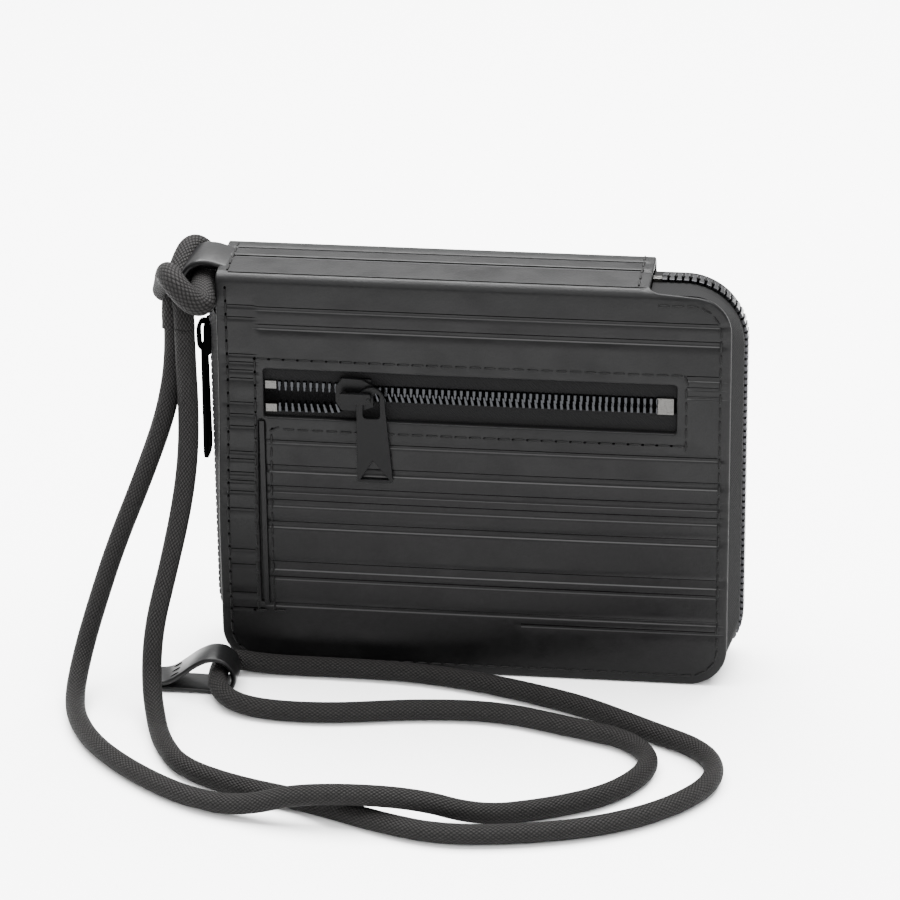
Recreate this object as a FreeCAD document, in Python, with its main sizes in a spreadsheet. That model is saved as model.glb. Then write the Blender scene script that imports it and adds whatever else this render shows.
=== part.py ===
"""Zip-around neck wallet: two leather halves joined by a spine, a front zip pocket and a neck cord.

Frame: X across the wallet, -Y is the front, +Z is up. The origin is on the surface it stands on,
halfway along the closed body and halfway between its covers. Lengths are millimetres.
"""
import FreeCAD, Part
import math
import os
import Sketcher

SIZES = [
    ("panel_width", 130.0),
    ("panel_height", 109.0),
    ("back_height", 103.2),
    ("fold_height", 110.0),
    ("body_depth", 24.0),
    ("panel_corner", 10.0),
    ("leather", 1.2),
    ("fold_radius", 2.5),
    ("spine_right_end", 44.0),
    ("spine_leg", 8.0),
    ("fold_gap", 1.0),
    ("spine_end_gap", 0.5),
    ("rear_lip", 2.8),
    ("board_thickness", 1.0),
    ("board_inset", 8.0),
    ("board_corner", 6.0),
    ("lining_thickness", 0.6),
    ("lining_inset", 3.5),
    ("lining_drop", 14.0),
    ("spine_board_left", 5.0),
    ("spine_board_right", 3.0),
    ("cut_past", 1.0),
    ("sheet_gap", 0.1),
    ("window_left", -53.4),
    ("window_right", 51.5),
    ("window_bottom", 71.2),
    ("window_top", 84.5),
    ("window_frame", 3.5),
    ("slit_bottom", 18.2),
    ("slit_width", 1.4),
    ("slit_top_gap", 1.0),
    ("welt_rise", 0.5),
    ("bag_depth", 3.0),
    ("bag_wall", 0.4),
    ("bag_bottom", 14.0),
    ("bag_top_margin", 2.0),
    ("bag_mouth_margin", 1.0),
    ("board_window_margin", 1.0),
    ("pocket_chain_height", 78.4),
    ("upper_row_rise", 1.6),
    ("lower_row_drop", 4.8),
    ("row_width", 2.1),
    ("row_gap", 0.1),
    ("tooth_depth", 2.0),
    ("tape_thickness", 0.6),
    ("tape_overlap", 3.2),
    ("pocket_stop_left", -53.0),
    ("pocket_stop_length", 2.8),
    ("box_stop_left", 46.6),
    ("box_stop_length", 4.1),
    ("slider_left", -34.9),
    ("slider_length", 8.5),
    ("slider_width", 8.4),
    ("slider_plate", 0.8),
    ("slider_clearance", 0.3),
    ("slider_wedge", 2.0),
    ("wedge_half", 0.9),
    ("bridge_bar", 1.0),
    ("bridge_leg", 1.0),
    ("bridge_width", 2.0),
    ("bridge_opening", 1.4),
    ("bridge_low_inset", 0.9),
    ("bridge_high_inset", 0.6),
    ("puller_thickness", 1.0),
    ("puller_ring_radius", 3.8),
    ("puller_hole_radius", 2.2),
    ("puller_drop", 0.9),
    ("puller_length", 24.4),
    ("puller_waist", 6.4),
    ("puller_foot", 9.4),
    ("cutout_height", 5.0),
    ("cutout_width", 6.6),
    ("cutout_foot", 1.2),
    ("chain_margin", 2.4),
    ("chain_low", 2.0),
    ("chain_drop", 2.0),
    ("chain_corner", 15.0),
    ("chain_depth", 2.4),
    ("main_tape_flat", 4.8),
    ("main_tape_tuck", 0.7),
    ("main_tape_top", 97.7),
    ("main_slider_low", 83.0),
    ("main_slider_length", 9.5),
    ("main_stop_low", 95.2),
    ("main_stop_length", 2.0),
    ("main_stop_inner", 0.8),
    ("bottom_stop_length", 2.2),
    ("main_puller_length", 32.0),
    ("main_window_length", 7.0),
    ("main_window_width", 3.2),
    ("main_puller_bar", 0.7),
    ("main_pivot_drop", 5.2),
    ("slip_top", 62.0),
    ("card_step", 13.0),
    ("card_top", 86.0),
    ("tab_width", 13.0),
    ("tab_thickness", 1.3),
    ("tab_eye_radius", 3.6),
    ("tab_reach", 4.2),
    ("tab_tail", 4.0),
    ("tab_gap", 0.3),
    ("cord_diameter", 5.2),
    ("hitch_height", 5.6),
    ("hitch_band", 3.6),
    ("hitch_spread", 7.8),
    ("hitch_half_length", 8.0),
    ("hitch_stub_overlap", 1.0),
    ("keeper_width", 9.0),
    ("keeper_leather", 1.3),
    ("keeper_centre_y", -25.5),
    ("keeper_loop_radius", 3.1),
    ("keeper_tail", 17.0),
    ("keeper_pinch", 9.0),
    ("keeper_fold_gap", 1.4),
    ("keeper_touch_angle", 115.0),
]

DOC = FreeCAD.newDocument("neck_wallet")
SHEET = DOC.addObject("Spreadsheet::Sheet", "dims")
for row, (alias, number) in enumerate(SIZES, start=1):
    SHEET.set(f"A{row}", alias)
    SHEET.set(f"B{row}", str(number))
    SHEET.setAlias(f"B{row}", alias)
DOC.recompute()

NODES = []


def size(alias):
    """The number that the sheet holds under this alias."""
    return float(SHEET.get(alias))


def cells(text):
    """An expression in which every alias word reads its sheet cell."""
    names = sorted((alias for alias, number in SIZES), key=len, reverse=True)
    words = text.replace("(", " ( ").replace(")", " ) ").split()
    return " ".join("dims." + word if word in names else word for word in words)


# ---- Shared builders -------------------------------------------------------------------

PLANES = {"XY": "XY_Plane", "XZ": "XZ_Plane", "YZ": "YZ_Plane"}
FIRST_WIDTH, FIRST_HEIGHT = 9.0, 7.0
TINY = 0.01


def origin_plane(body, plane):
    """One of the body's own origin planes."""
    return next(item for item in body.Origin.OriginFeatures if item.Role == PLANES[plane])


def rectangle(body, name, plane, across, up, out, width, height):
    """A rectangle on an origin plane, its low corner and its two sides bound to the sheet."""
    sketch = body.newObject("Sketcher::SketchObject", name)
    sketch.AttachmentSupport = (origin_plane(body, plane), [""])
    sketch.MapMode = "FlatFace"
    corners = [(0, 0), (FIRST_WIDTH, 0), (FIRST_WIDTH, FIRST_HEIGHT), (0, FIRST_HEIGHT)]
    points = [FreeCAD.Vector(x, y, 0) for x, y in corners]
    for index in range(4):
        sketch.addGeometry(Part.LineSegment(points[index], points[(index + 1) % 4]), False)
    for index in range(4):
        sketch.addConstraint(Sketcher.Constraint("Coincident", index, 2, (index + 1) % 4, 1))
    for index, kind in enumerate(("Horizontal", "Vertical", "Horizontal", "Vertical")):
        sketch.addConstraint(Sketcher.Constraint(kind, index))
    sketch.addConstraint(Sketcher.Constraint("Coincident", 0, 1, -1, 1))
    wide = sketch.addConstraint(Sketcher.Constraint("Distance", 0, FIRST_WIDTH))
    high = sketch.addConstraint(Sketcher.Constraint("Distance", 1, FIRST_HEIGHT))
    sketch.renameConstraint(wide, "wide")
    sketch.renameConstraint(high, "high")
    sketch.setExpression("Constraints.wide", cells(width))
    sketch.setExpression("Constraints.high", cells(height))
    sketch.setExpression("AttachmentOffset.Base.x", cells(across))
    sketch.setExpression("AttachmentOffset.Base.y", cells(up))
    sketch.setExpression("AttachmentOffset.Base.z", cells(out))
    return sketch


def feature(body, kind, name, sketch, length):
    """A pad or a pocket of a sketch along its own normal."""
    made = body.newObject("PartDesign::" + kind, name)
    made.Profile = sketch
    made.setExpression("Length", cells(length))
    if kind == "Pocket":
        made.Reversed = True
    DOC.recompute()
    return made


def pad_block(body, name, plane, across, up, out, width, height, length):
    """A padded rectangle."""
    sketch = rectangle(body, name + "_sketch", plane, across, up, out, width, height)
    return feature(body, "Pad", name, sketch, length)


def cut_block(body, name, plane, across, up, out, width, height, length):
    """A pocketed rectangle, which must take some material away."""
    before = body.Shape.Volume
    sketch = rectangle(body, name + "_sketch", plane, across, up, out, width, height)
    cut = feature(body, "Pocket", name, sketch, length)
    if body.Shape.Volume > before - TINY:
        raise RuntimeError(f"{name} cuts nothing")
    return cut


def fillet_edges(body, name, chosen, radius):
    """Round the edges of the body's tip that the test picks."""
    tip = body.Tip
    picked = [f"Edge{n}" for n, edge in enumerate(tip.Shape.Edges, start=1) if chosen(edge)]
    rounded = body.newObject("PartDesign::Fillet", name)
    rounded.Base = (tip, picked)
    rounded.setExpression("Radius", cells(radius))
    DOC.recompute()
    return rounded


def is_along(edge, axis):
    """True for a straight edge that runs along the axis, given by its number."""
    if len(edge.Vertexes) != 2 or not isinstance(edge.Curve, (Part.Line, Part.LineSegment)):
        return False
    step = edge.Vertexes[1].Point - edge.Vertexes[0].Point
    return abs(abs(step[axis]) - step.Length) < 1e-6


def new_body(node):
    """An empty body whose label is the node's name."""
    body = DOC.addObject("PartDesign::Body", node)
    body.Label = node
    NODES.append(body)
    return body


def sheet_panel(node, y_low, thickness, left, width, bottom, height, corner):
    """A flat upright sheet in the XZ plane with rounded corners. y_low is its front face."""
    body = new_body(node)
    pad_block(body, node + "_pad", "XZ", left, bottom, f"-1 * ( {y_low} ) - {thickness}",
              width, height, thickness)
    if corner:
        fillet_edges(body, node + "_corners", lambda edge: is_along(edge, 1), corner)
    return body


def solid_node(node, shape, place=FreeCAD.Placement()):
    """A node whose shape is made by Part's own functions from the sheet's numbers."""
    item = DOC.addObject("Part::Feature", node)
    item.Label = node
    item.Shape = shape
    item.Placement = place
    NODES.append(item)
    return item


def block(x_low, x_high, y_low, y_high, z_low, z_high):
    """A box between two corners."""
    corner = FreeCAD.Vector(x_low, y_low, z_low)
    return Part.makeBox(x_high - x_low, y_high - y_low, z_high - z_low, corner)


def prism_y(outline, y_low, y_high):
    """An outline of (x, z) points, made solid between two depths."""
    points = [FreeCAD.Vector(x, y_low, z) for x, z in outline]
    face = Part.Face(Part.makePolygon(points + points[:1]))
    return face.extrude(FreeCAD.Vector(0, y_high - y_low, 0))


def disc_y(x, z, radius, y_low, y_high):
    """A round disc with its axis along Y."""
    axis = FreeCAD.Vector(0, 1, 0)
    return Part.makeCylinder(radius, y_high - y_low, FreeCAD.Vector(x, y_low, z), axis)


def mirrored(shape):
    """The same shape on the other side of the mid-plane between the covers."""
    return shape.mirror(FreeCAD.Vector(0, 0, 0), FreeCAD.Vector(0, 1, 0))


# ---- Leather covers ----------------------------------------------------------------------
# The front cover, the spine and its two folds are one piece with the pocket's window and slit
# cut in it. The back cover starts just under the rear fold, which is where the wallet hinges.

def build_front_cover():
    body = new_body("front_cover")
    pad_block(body, "front_panel", "XZ", "-1 * panel_width / 2", "0", "body_depth / 2 - leather",
              "panel_width", "panel_height", "leather")
    low = size("panel_height") / 2
    rounded = lambda edge: is_along(edge, 1) and (
        edge.Vertexes[0].X > 0 or edge.Vertexes[0].Z < low)
    fillet_edges(body, "front_corners", rounded, "panel_corner")
    spine_length = "spine_right_end + panel_width / 2"
    pad_block(body, "spine", "YZ", "-1 * body_depth / 2", "fold_height - spine_leg",
              "-1 * panel_width / 2", "body_depth", "spine_leg", spine_length)
    top = size("fold_height")
    folds = lambda edge: is_along(edge, 0) and edge.Vertexes[0].Z > top - TINY
    fillet_edges(body, "spine_folds", folds, "fold_radius")
    cut_block(body, "spine_hollow", "YZ", "leather - body_depth / 2", "fold_height - spine_leg - cut_past",
              "-1 * panel_width / 2", "body_depth - 2 * leather", "spine_leg + cut_past - leather",
              spine_length)
    cut_block(body, "rear_edge", "YZ", "0", "fold_height - spine_leg - cut_past", "-1 * panel_width / 2",
              "body_depth / 2 + cut_past", "spine_leg + cut_past - rear_lip", spine_length)
    cut_block(body, "window", "XZ", "window_left", "window_bottom", "body_depth / 2 - leather",
              "window_right - window_left", "window_top - window_bottom", "leather")
    cut_block(body, "slit", "XZ", "window_left - slit_width", "slit_bottom", "body_depth / 2 - leather",
              "slit_width", "window_bottom - slit_top_gap - slit_bottom", "leather")


def build_pocket_welt():
    """A folded leather lip that fills the slit and stands a little proud of the panel."""
    body = new_body("pocket_welt")
    pad_block(body, "welt", "XZ", "window_left - slit_width + sheet_gap", "slit_bottom + sheet_gap",
              "body_depth / 2 - leather", "slit_width - 2 * sheet_gap",
              "window_bottom - slit_top_gap - slit_bottom - 2 * sheet_gap", "leather + welt_rise")


def build_back_cover():
    """Its shoulder beside the spine is cut lower than the front's, so it stays behind the zip."""
    body = sheet_panel("back_cover", "body_depth / 2 - leather", "leather", "-1 * panel_width / 2",
                       "panel_width", "0", "panel_height", "")
    cut_block(body, "fold_clearance", "XZ", "-1 * panel_width / 2 - cut_past",
              "fold_height - rear_lip - fold_gap", "-1 * body_depth / 2",
              "spine_right_end + panel_width / 2 + cut_past + spine_end_gap",
              "panel_height", "leather")
    cut_block(body, "back_shoulder", "XZ", "spine_right_end + spine_end_gap", "back_height",
              "-1 * body_depth / 2", "panel_width", "panel_height", "leather")
    side, low = size("panel_width") / 2 - TINY, size("panel_height") / 2
    rounded = lambda edge: is_along(edge, 1) and (
        edge.Vertexes[0].X > side or (edge.Vertexes[0].X < -side and edge.Vertexes[0].Z < low))
    fillet_edges(body, "back_corners", rounded, "panel_corner")


# ---- Boards, linings, pockets --------------------------------------------------------------

def board(node, y_low):
    """A stiffening board inside a cover."""
    return sheet_panel(node, y_low, "board_thickness", "board_inset - panel_width / 2",
                       "panel_width - 2 * board_inset", "board_inset",
                       "panel_height - 2 * board_inset", "board_corner")


def lining(node, y_low, bottom, height):
    """A thin leather sheet inside one half."""
    return sheet_panel(node, y_low, "lining_thickness", "lining_inset - panel_width / 2",
                       "panel_width - 2 * lining_inset", bottom, height, "board_corner")


def build_front_stack():
    front = board("front_board", "leather - body_depth / 2")
    cut_block(front, "board_window", "XZ", "window_left - window_frame",
              "window_bottom - tape_overlap - board_window_margin",
              "body_depth / 2 - leather - board_thickness", "window_right - window_left + 2 * window_frame",
              "window_top - window_bottom + 2 * tape_overlap + 2 * board_window_margin",
              "board_thickness")
    build_pocket_bag()
    bag_back = "leather + board_thickness + bag_depth - body_depth / 2"
    lining("front_lining", f"{bag_back} + sheet_gap", "lining_inset",
           "fold_height - lining_drop - lining_inset")
    lining("slip_pocket", f"{bag_back} + lining_thickness + 2 * sheet_gap", "lining_inset",
           "slip_top - lining_inset")


def build_pocket_bag():
    """A flat fabric bag behind the window, open towards it."""
    bag = sheet_panel("pocket_bag", "leather + board_thickness - body_depth / 2", "bag_depth",
                      "board_inset - panel_width / 2", "panel_width - 2 * board_inset", "bag_bottom",
                      "window_top + tape_overlap + bag_top_margin - bag_bottom", "")
    bag_front = "body_depth / 2 - leather - board_thickness"
    cut_block(bag, "bag_inside", "YZ", f"bag_wall - ( {bag_front} )", "bag_bottom + bag_wall",
              "board_inset + bag_wall - panel_width / 2", "bag_depth - 2 * bag_wall",
              "window_top + tape_overlap + bag_top_margin - bag_bottom - 2 * bag_wall",
              "panel_width - 2 * board_inset - 2 * bag_wall")
    cut_block(bag, "bag_mouth", "XZ", "window_left - bag_mouth_margin", "window_bottom - bag_mouth_margin",
              f"{bag_front} - bag_wall", "window_right - window_left + 2 * bag_mouth_margin",
              "window_top - window_bottom + 2 * bag_mouth_margin", "bag_wall")


def build_back_stack():
    board("back_board", "body_depth / 2 - leather - board_thickness")
    face = "body_depth / 2 - leather - board_thickness - sheet_gap - lining_thickness"
    lining("back_lining", face, "lining_inset", "fold_height - lining_drop - lining_inset")
    for number in range(1, 5):
        y_low = f"{face} - {number} * ( lining_thickness + sheet_gap )"
        lining(f"card_slot_{number}", y_low, "lining_inset",
               f"card_top - {number - 1} * card_step - lining_inset")


def build_spine_board():
    body = new_body("spine_board")
    side = "leather + fold_radius"
    pad_block(body, "spine_stiffener", "YZ", f"{side} - body_depth / 2",
              "fold_height - leather - board_thickness - sheet_gap", "spine_board_left - panel_width / 2",
              f"body_depth - 2 * ( {side} )", "board_thickness",
              "spine_right_end - spine_board_right - spine_board_left + panel_width / 2")


# ---- Pocket zip ------------------------------------------------------------------------------
# The chain lies along X behind the window. It is joined to the right of the slider and open to
# its left, where both tapes are pulled apart.

def pocket_rows():
    """Each row's low and high edge, joined and apart: (upper joined, upper apart, lower ...)."""
    centre, wide, gap = size("pocket_chain_height"), size("row_width"), size("row_gap")
    upper = centre + gap
    lower = centre - gap - wide
    upper_apart = centre + size("upper_row_rise") - wide / 2
    lower_apart = centre - size("lower_row_drop") - wide / 2
    return upper, upper_apart, lower, lower_apart


def pocket_depths(thickness):
    """The near and far face of something centred on the pocket's tape."""
    centre = size("leather") + size("tape_thickness") / 2 - size("body_depth") / 2
    return centre - thickness / 2, centre + thickness / 2


def build_pocket_teeth():
    slider_left, wedge = size("slider_left"), size("slider_wedge")
    gap = size("slider_clearance")
    start = size("pocket_stop_left") + size("pocket_stop_length")
    wide = size("row_width")
    y_low, y_high = pocket_depths(size("tooth_depth"))
    upper, upper_apart, lower, lower_apart = pocket_rows()
    rows = {"pocket_teeth_upper": (upper, upper_apart), "pocket_teeth_lower": (lower, lower_apart)}
    for node, (joined, apart) in rows.items():
        open_row = block(start, slider_left - gap, y_low, y_high, apart, apart + wide)
        closed_row = block(slider_left + wedge + gap, size("box_stop_left"), y_low, y_high,
                           joined, joined + wide)
        solid_node(node, Part.makeCompound([open_row, closed_row]))


def build_pocket_tapes():
    """Each tape runs from its row of teeth to under the edge of the window."""
    y_low, y_high = pocket_depths(size("tape_thickness"))
    wide, overlap = size("row_width"), size("tape_overlap")
    left = size("window_left") - size("tape_overlap")
    right = size("window_right") + size("tape_overlap")
    bend_from = size("slider_left")
    bend_to = size("slider_left") + size("slider_length")
    upper, upper_apart, lower, lower_apart = pocket_rows()
    top = size("window_top") + overlap
    upper_outline = [(left, top), (left, upper_apart + wide), (bend_from, upper_apart + wide),
                     (bend_to, upper + wide), (right, upper + wide), (right, top)]
    bottom = size("window_bottom") - overlap
    lower_outline = [(left, bottom), (left, lower_apart), (bend_from, lower_apart),
                     (bend_to, lower), (right, lower), (right, bottom)]
    solid_node("pocket_tape_upper", prism_y(upper_outline, y_low, y_high))
    solid_node("pocket_tape_lower", prism_y(lower_outline, y_low, y_high))


def build_pocket_stops():
    upper, upper_apart, lower, lower_apart = pocket_rows()
    wide = size("row_width")
    y_low, y_high = pocket_depths(size("tooth_depth"))
    left = size("pocket_stop_left")
    right = left + size("pocket_stop_length")
    stops = [block(left, right, y_low, y_high, low, low + wide) for low in (upper_apart, lower_apart)]
    solid_node("pocket_top_stops", Part.makeCompound(stops))
    box_left = size("box_stop_left")
    solid_node("pocket_box_stop", block(box_left, box_left + size("box_stop_length"), y_low, y_high,
                                        lower, upper + wide))


def slider_parts(low, length, width, half_channel, wedge):
    """A zip slider lying along its own first axis, its outer side towards -second axis."""
    plate, clearance = size("slider_plate"), size("slider_clearance")
    outer = half_channel + clearance
    tape_half = size("tape_thickness") / 2 + clearance
    parts = [
        block(low, low + length, -outer - plate, -outer, -width / 2, width / 2),
        block(low, low + length, outer, outer + plate, -width / 2, width / 2),
        block(low, low + wedge, -outer, outer, -size("wedge_half"), size("wedge_half")),
    ]
    for side in (-1, 1):
        edges = sorted((side * width / 2, side * (width / 2 - plate)))
        parts.append(block(low, low + length, -outer, -tape_half, edges[0], edges[1]))
        parts.append(block(low, low + length, tape_half, outer, edges[0], edges[1]))
    return parts


def bridge_parts(low, high, base):
    """The arch on a slider's outer plate that holds the puller: two legs and a bar."""
    bar, leg, opening = size("bridge_bar"), size("bridge_leg"), size("bridge_opening")
    half = size("bridge_width") / 2
    return [
        block(low, low + leg, base - opening, base, -half, half),
        block(high - leg, high, base - opening, base, -half, half),
        block(low, high, base - opening - bar, base - opening, -half, half),
    ]


def fused(parts):
    """One solid from parts that meet."""
    return parts[0].multiFuse(parts[1:]).removeSplitter()


def pocket_bridge_base():
    """Depth of the pocket slider's outer face."""
    near, far = pocket_depths(size("tooth_depth"))
    return near - size("slider_clearance") - size("slider_plate")


def build_pocket_slider():
    low, length = size("slider_left"), size("slider_length")
    parts = slider_parts(low, length, size("slider_width"), size("tooth_depth") / 2, size("slider_wedge"))
    base = -size("tooth_depth") / 2 - size("slider_clearance") - size("slider_plate")
    parts += bridge_parts(low + size("bridge_leg"), low + length, base)
    slider = fused(parts)
    tape_centre = FreeCAD.Vector(0, pocket_depths(0)[0], size("pocket_chain_height"))
    solid_node("pocket_slider", slider, FreeCAD.Placement(tape_centre, FreeCAD.Rotation()))


def puller_outline(length, waist, foot):
    """The tapering handle of a puller, hanging from the origin."""
    shoulder = size("puller_ring_radius")
    return [(-waist / 2, 0), (-waist / 2, -shoulder), (-foot / 2, -length),
            (foot / 2, -length), (waist / 2, -shoulder), (waist / 2, 0)]


def puller_cutout(length):
    """A triangular hole near the foot of a puller."""
    foot = size("cutout_foot") - length
    half = size("cutout_width") / 2
    thickness = size("puller_thickness")
    outline = [(-half, foot), (half, foot), (0, foot + size("cutout_height"))]
    return prism_y(outline, -thickness, thickness)


def build_pocket_puller():
    """It hangs from the bridge's right leg, which passes through its ring."""
    thickness = size("puller_thickness")
    drop = size("puller_drop")
    ring = disc_y(0, -drop, size("puller_ring_radius"), -thickness / 2, thickness / 2)
    outline = puller_outline(size("puller_length") - drop, size("puller_waist"), size("puller_foot"))
    handle = prism_y([(x, z - drop) for x, z in outline], -thickness / 2, thickness / 2)
    hole = disc_y(0, -drop, size("puller_hole_radius"), -thickness, thickness)
    puller = ring.fuse(handle).cut(hole).cut(puller_cutout(size("puller_length"))).removeSplitter()
    leg_x = size("slider_left") + size("slider_length") - size("bridge_leg") / 2
    y = pocket_bridge_base() - size("bridge_opening") / 2
    pivot = FreeCAD.Vector(leg_x, y, size("pocket_chain_height"))
    solid_node("pocket_puller", puller, FreeCAD.Placement(pivot, FreeCAD.Rotation()))
    print("pocket_puller_pivot", round(leg_x, 3), round(y, 3), size("pocket_chain_height"))


# ---- Main zip ----------------------------------------------------------------------------------
# The chain goes round the right side, the bottom and the left side halfway between the covers.
# Each half of the wallet carries one tape with one row of teeth.

def rounded_wire(half_width, low, high, radius, y):
    """A closed rounded rectangle in the XZ plane at one depth."""
    edges = []
    corners = [(half_width, high, 90), (-half_width, high, 180), (-half_width, low, 270),
               (half_width, low, 360)]
    spots = []
    for x, z, end in corners:
        centre = FreeCAD.Vector(x - math.copysign(radius, x), y, z - radius if z == high else z + radius)
        angles = [math.radians(end - 90), math.radians(end - 45), math.radians(end)]
        spots.append([centre + FreeCAD.Vector(radius * math.cos(a), 0, radius * math.sin(a)) for a in angles])
    for index, spot in enumerate(spots):
        edges.append(Part.Arc(*spot).toShape())
        edges.append(Part.LineSegment(spot[2], spots[(index + 1) % 4][0]).toShape())
    return Part.Wire(edges)


def chain_out():
    """How far the chain's middle runs from the wallet's own middle, on both sides."""
    return size("panel_width") / 2 + size("chain_margin")


def chain_high():
    """How high the chain's middle runs at the top."""
    return size("fold_height") - size("chain_drop")


def chain_wire(offset, y):
    """The chain's path, moved outwards by an offset."""
    return rounded_wire(chain_out() + offset, size("chain_low") - offset, chain_high() + offset,
                        size("chain_corner") + offset, y)


def cover_wire(height, offset, y):
    """The line along which a tape is sewn under the edge of a cover of this height, moved outwards."""
    tuck = size("main_tape_tuck")
    return rounded_wire(size("panel_width") / 2 - tuck + offset, tuck - offset,
                        size(height) - tuck + offset, size("panel_corner") - tuck + offset, y)


def spine_side():
    """The space over the spine and the tab, where the zip doesn't run."""
    reach = size("panel_width")
    end = size("spine_right_end") + size("spine_end_gap")
    return block(-reach, end, -reach, reach, size("main_tape_top"), 2 * reach)


def main_tape(height):
    """The tape in front of the chain: flat near the teeth, sloping in to the edge of its cover."""
    half = size("tape_thickness") / 2
    tooth_end = -size("row_width")
    flat, cover = -size("main_tape_flat"), size("leather") - size("body_depth") / 2
    skins = [Part.makeLoft([cover_wire(height, side, cover), chain_wire(side, flat),
                            chain_wire(side, tooth_end)], True, True) for side in (half, -half)]
    return skins[0].cut(skins[1]).cut(spine_side())


def chain_ring(inner, outer, y_low, y_high):
    """A band that follows the chain's path."""
    face = Part.Face(chain_wire(outer, y_low)).cut(Part.Face(chain_wire(inner, y_low)))
    return face.extrude(FreeCAD.Vector(0, y_high - y_low, 0))


def main_teeth():
    """The front half's row of teeth as one plain rail, from inside the slider to the bottom stop."""
    half = size("chain_depth") / 2
    rail = chain_ring(-half, half, -size("row_width"), -size("row_gap"))
    reach = size("panel_width")
    slider_top = size("main_slider_low") + size("main_slider_length")
    rail_top = slider_top - size("slider_wedge") - size("slider_clearance")
    above = block(-reach, bottom_stop_end(), -reach, reach, rail_top, reach)
    return rail.cut(above)


def bottom_stop_end():
    """Where the stop at the spine's right end meets the first teeth."""
    return size("spine_right_end") + size("bottom_stop_length") + size("spine_end_gap")


def main_top_stop():
    """The stop at the closed end of one row."""
    half = size("chain_depth") / 2
    out, low = -chain_out(), size("main_stop_low")
    return block(out - half, out + half, -size("row_width"), -size("main_stop_inner"), low,
                 low + size("main_stop_length"))


def build_main_zip():
    teeth, stop = main_teeth(), main_top_stop()
    solid_node("main_tape_front", main_tape("panel_height"))
    solid_node("main_tape_back", mirrored(main_tape("back_height")))
    solid_node("main_teeth_front", teeth)
    solid_node("main_teeth_back", mirrored(teeth))
    solid_node("main_top_stop_front", stop)
    solid_node("main_top_stop_back", mirrored(stop))
    half = size("chain_depth") / 2
    right, high = bottom_stop_end(), chain_high()
    solid_node("main_bottom_stop", block(right - size("bottom_stop_length"), right, -size("row_width"),
                                         -size("row_gap"), high - half, high + half))


def build_main_slider():
    """It runs along Z on the left side, its outer side towards -X."""
    low, length = size("main_slider_low"), size("main_slider_length")
    half = size("chain_depth") / 2
    parts = slider_parts(-low - length, length, size("slider_width"), half, size("slider_wedge"))
    base = -half - size("slider_clearance") - size("slider_plate")
    parts += bridge_parts(-low - length + size("bridge_high_inset"), -low - size("bridge_low_inset"), base)
    slider = fused(parts)
    axes = [FreeCAD.Vector(0, 0, -1), FreeCAD.Vector(1, 0, 0), FreeCAD.Vector(0, -1, 0)]
    turn = FreeCAD.Rotation(*axes, "XYZ")
    solid_node("main_slider", slider, FreeCAD.Placement(FreeCAD.Vector(-chain_out(), 0, 0), turn))


def build_main_puller():
    """Its top bar passes through the slider's bridge, and it lies flat against the zip."""
    thickness, bar = size("puller_thickness"), size("main_puller_bar")
    length = size("main_puller_length")
    window, window_width = size("main_window_length"), size("main_window_width")
    outline = puller_outline(length, size("puller_waist"), size("puller_foot"))
    handle = prism_y([(x, z + bar / 2) for x, z in outline], -thickness / 2, thickness / 2)
    hole = block(-window_width / 2, window_width / 2, -thickness, thickness, -bar / 2 - window, -bar / 2)
    puller = handle.cut(hole).cut(puller_cutout(length))
    outer = size("chain_depth") / 2 + size("slider_clearance") + size("slider_plate")
    x = -chain_out() - outer - size("bridge_opening") / 2
    bridge_top = size("main_slider_low") + size("main_slider_length") - size("bridge_high_inset")
    z = bridge_top - size("bridge_leg") - size("main_pivot_drop")
    quarter = FreeCAD.Rotation(FreeCAD.Vector(0, 0, 1), 90)
    solid_node("main_puller", puller, FreeCAD.Placement(FreeCAD.Vector(x, 0, z), quarter))
    print("main_puller_pivot", round(x, 3), 0, round(z, 3))


# ---- Tab, hitch, cord, keeper ---------------------------------------------------------------------

def build_tab_loop():
    """A strip folded into an eye whose two ends are sewn into the spine's left end."""
    eye, thick = size("tab_eye_radius"), size("tab_thickness")
    x = -size("panel_width") / 2 - size("tab_reach")
    top = size("fold_height") - size("leather") - size("tab_gap")
    z = top - thick - eye
    half = size("tab_width") / 2
    end = x + size("tab_reach") + size("tab_tail")
    loop = disc_y(x, z, eye + thick, -half, half).cut(disc_y(x, z, eye, -half, half))
    loop = loop.cut(block(x, x + 2 * eye, -half, half, z - 2 * eye, z + 2 * eye))
    plies = [block(x, end, -half, half, z + eye, top), block(x, end, -half, half, z - eye - thick, z - eye)]
    solid_node("tab_loop", fused([loop] + plies))
    return x, z


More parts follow.
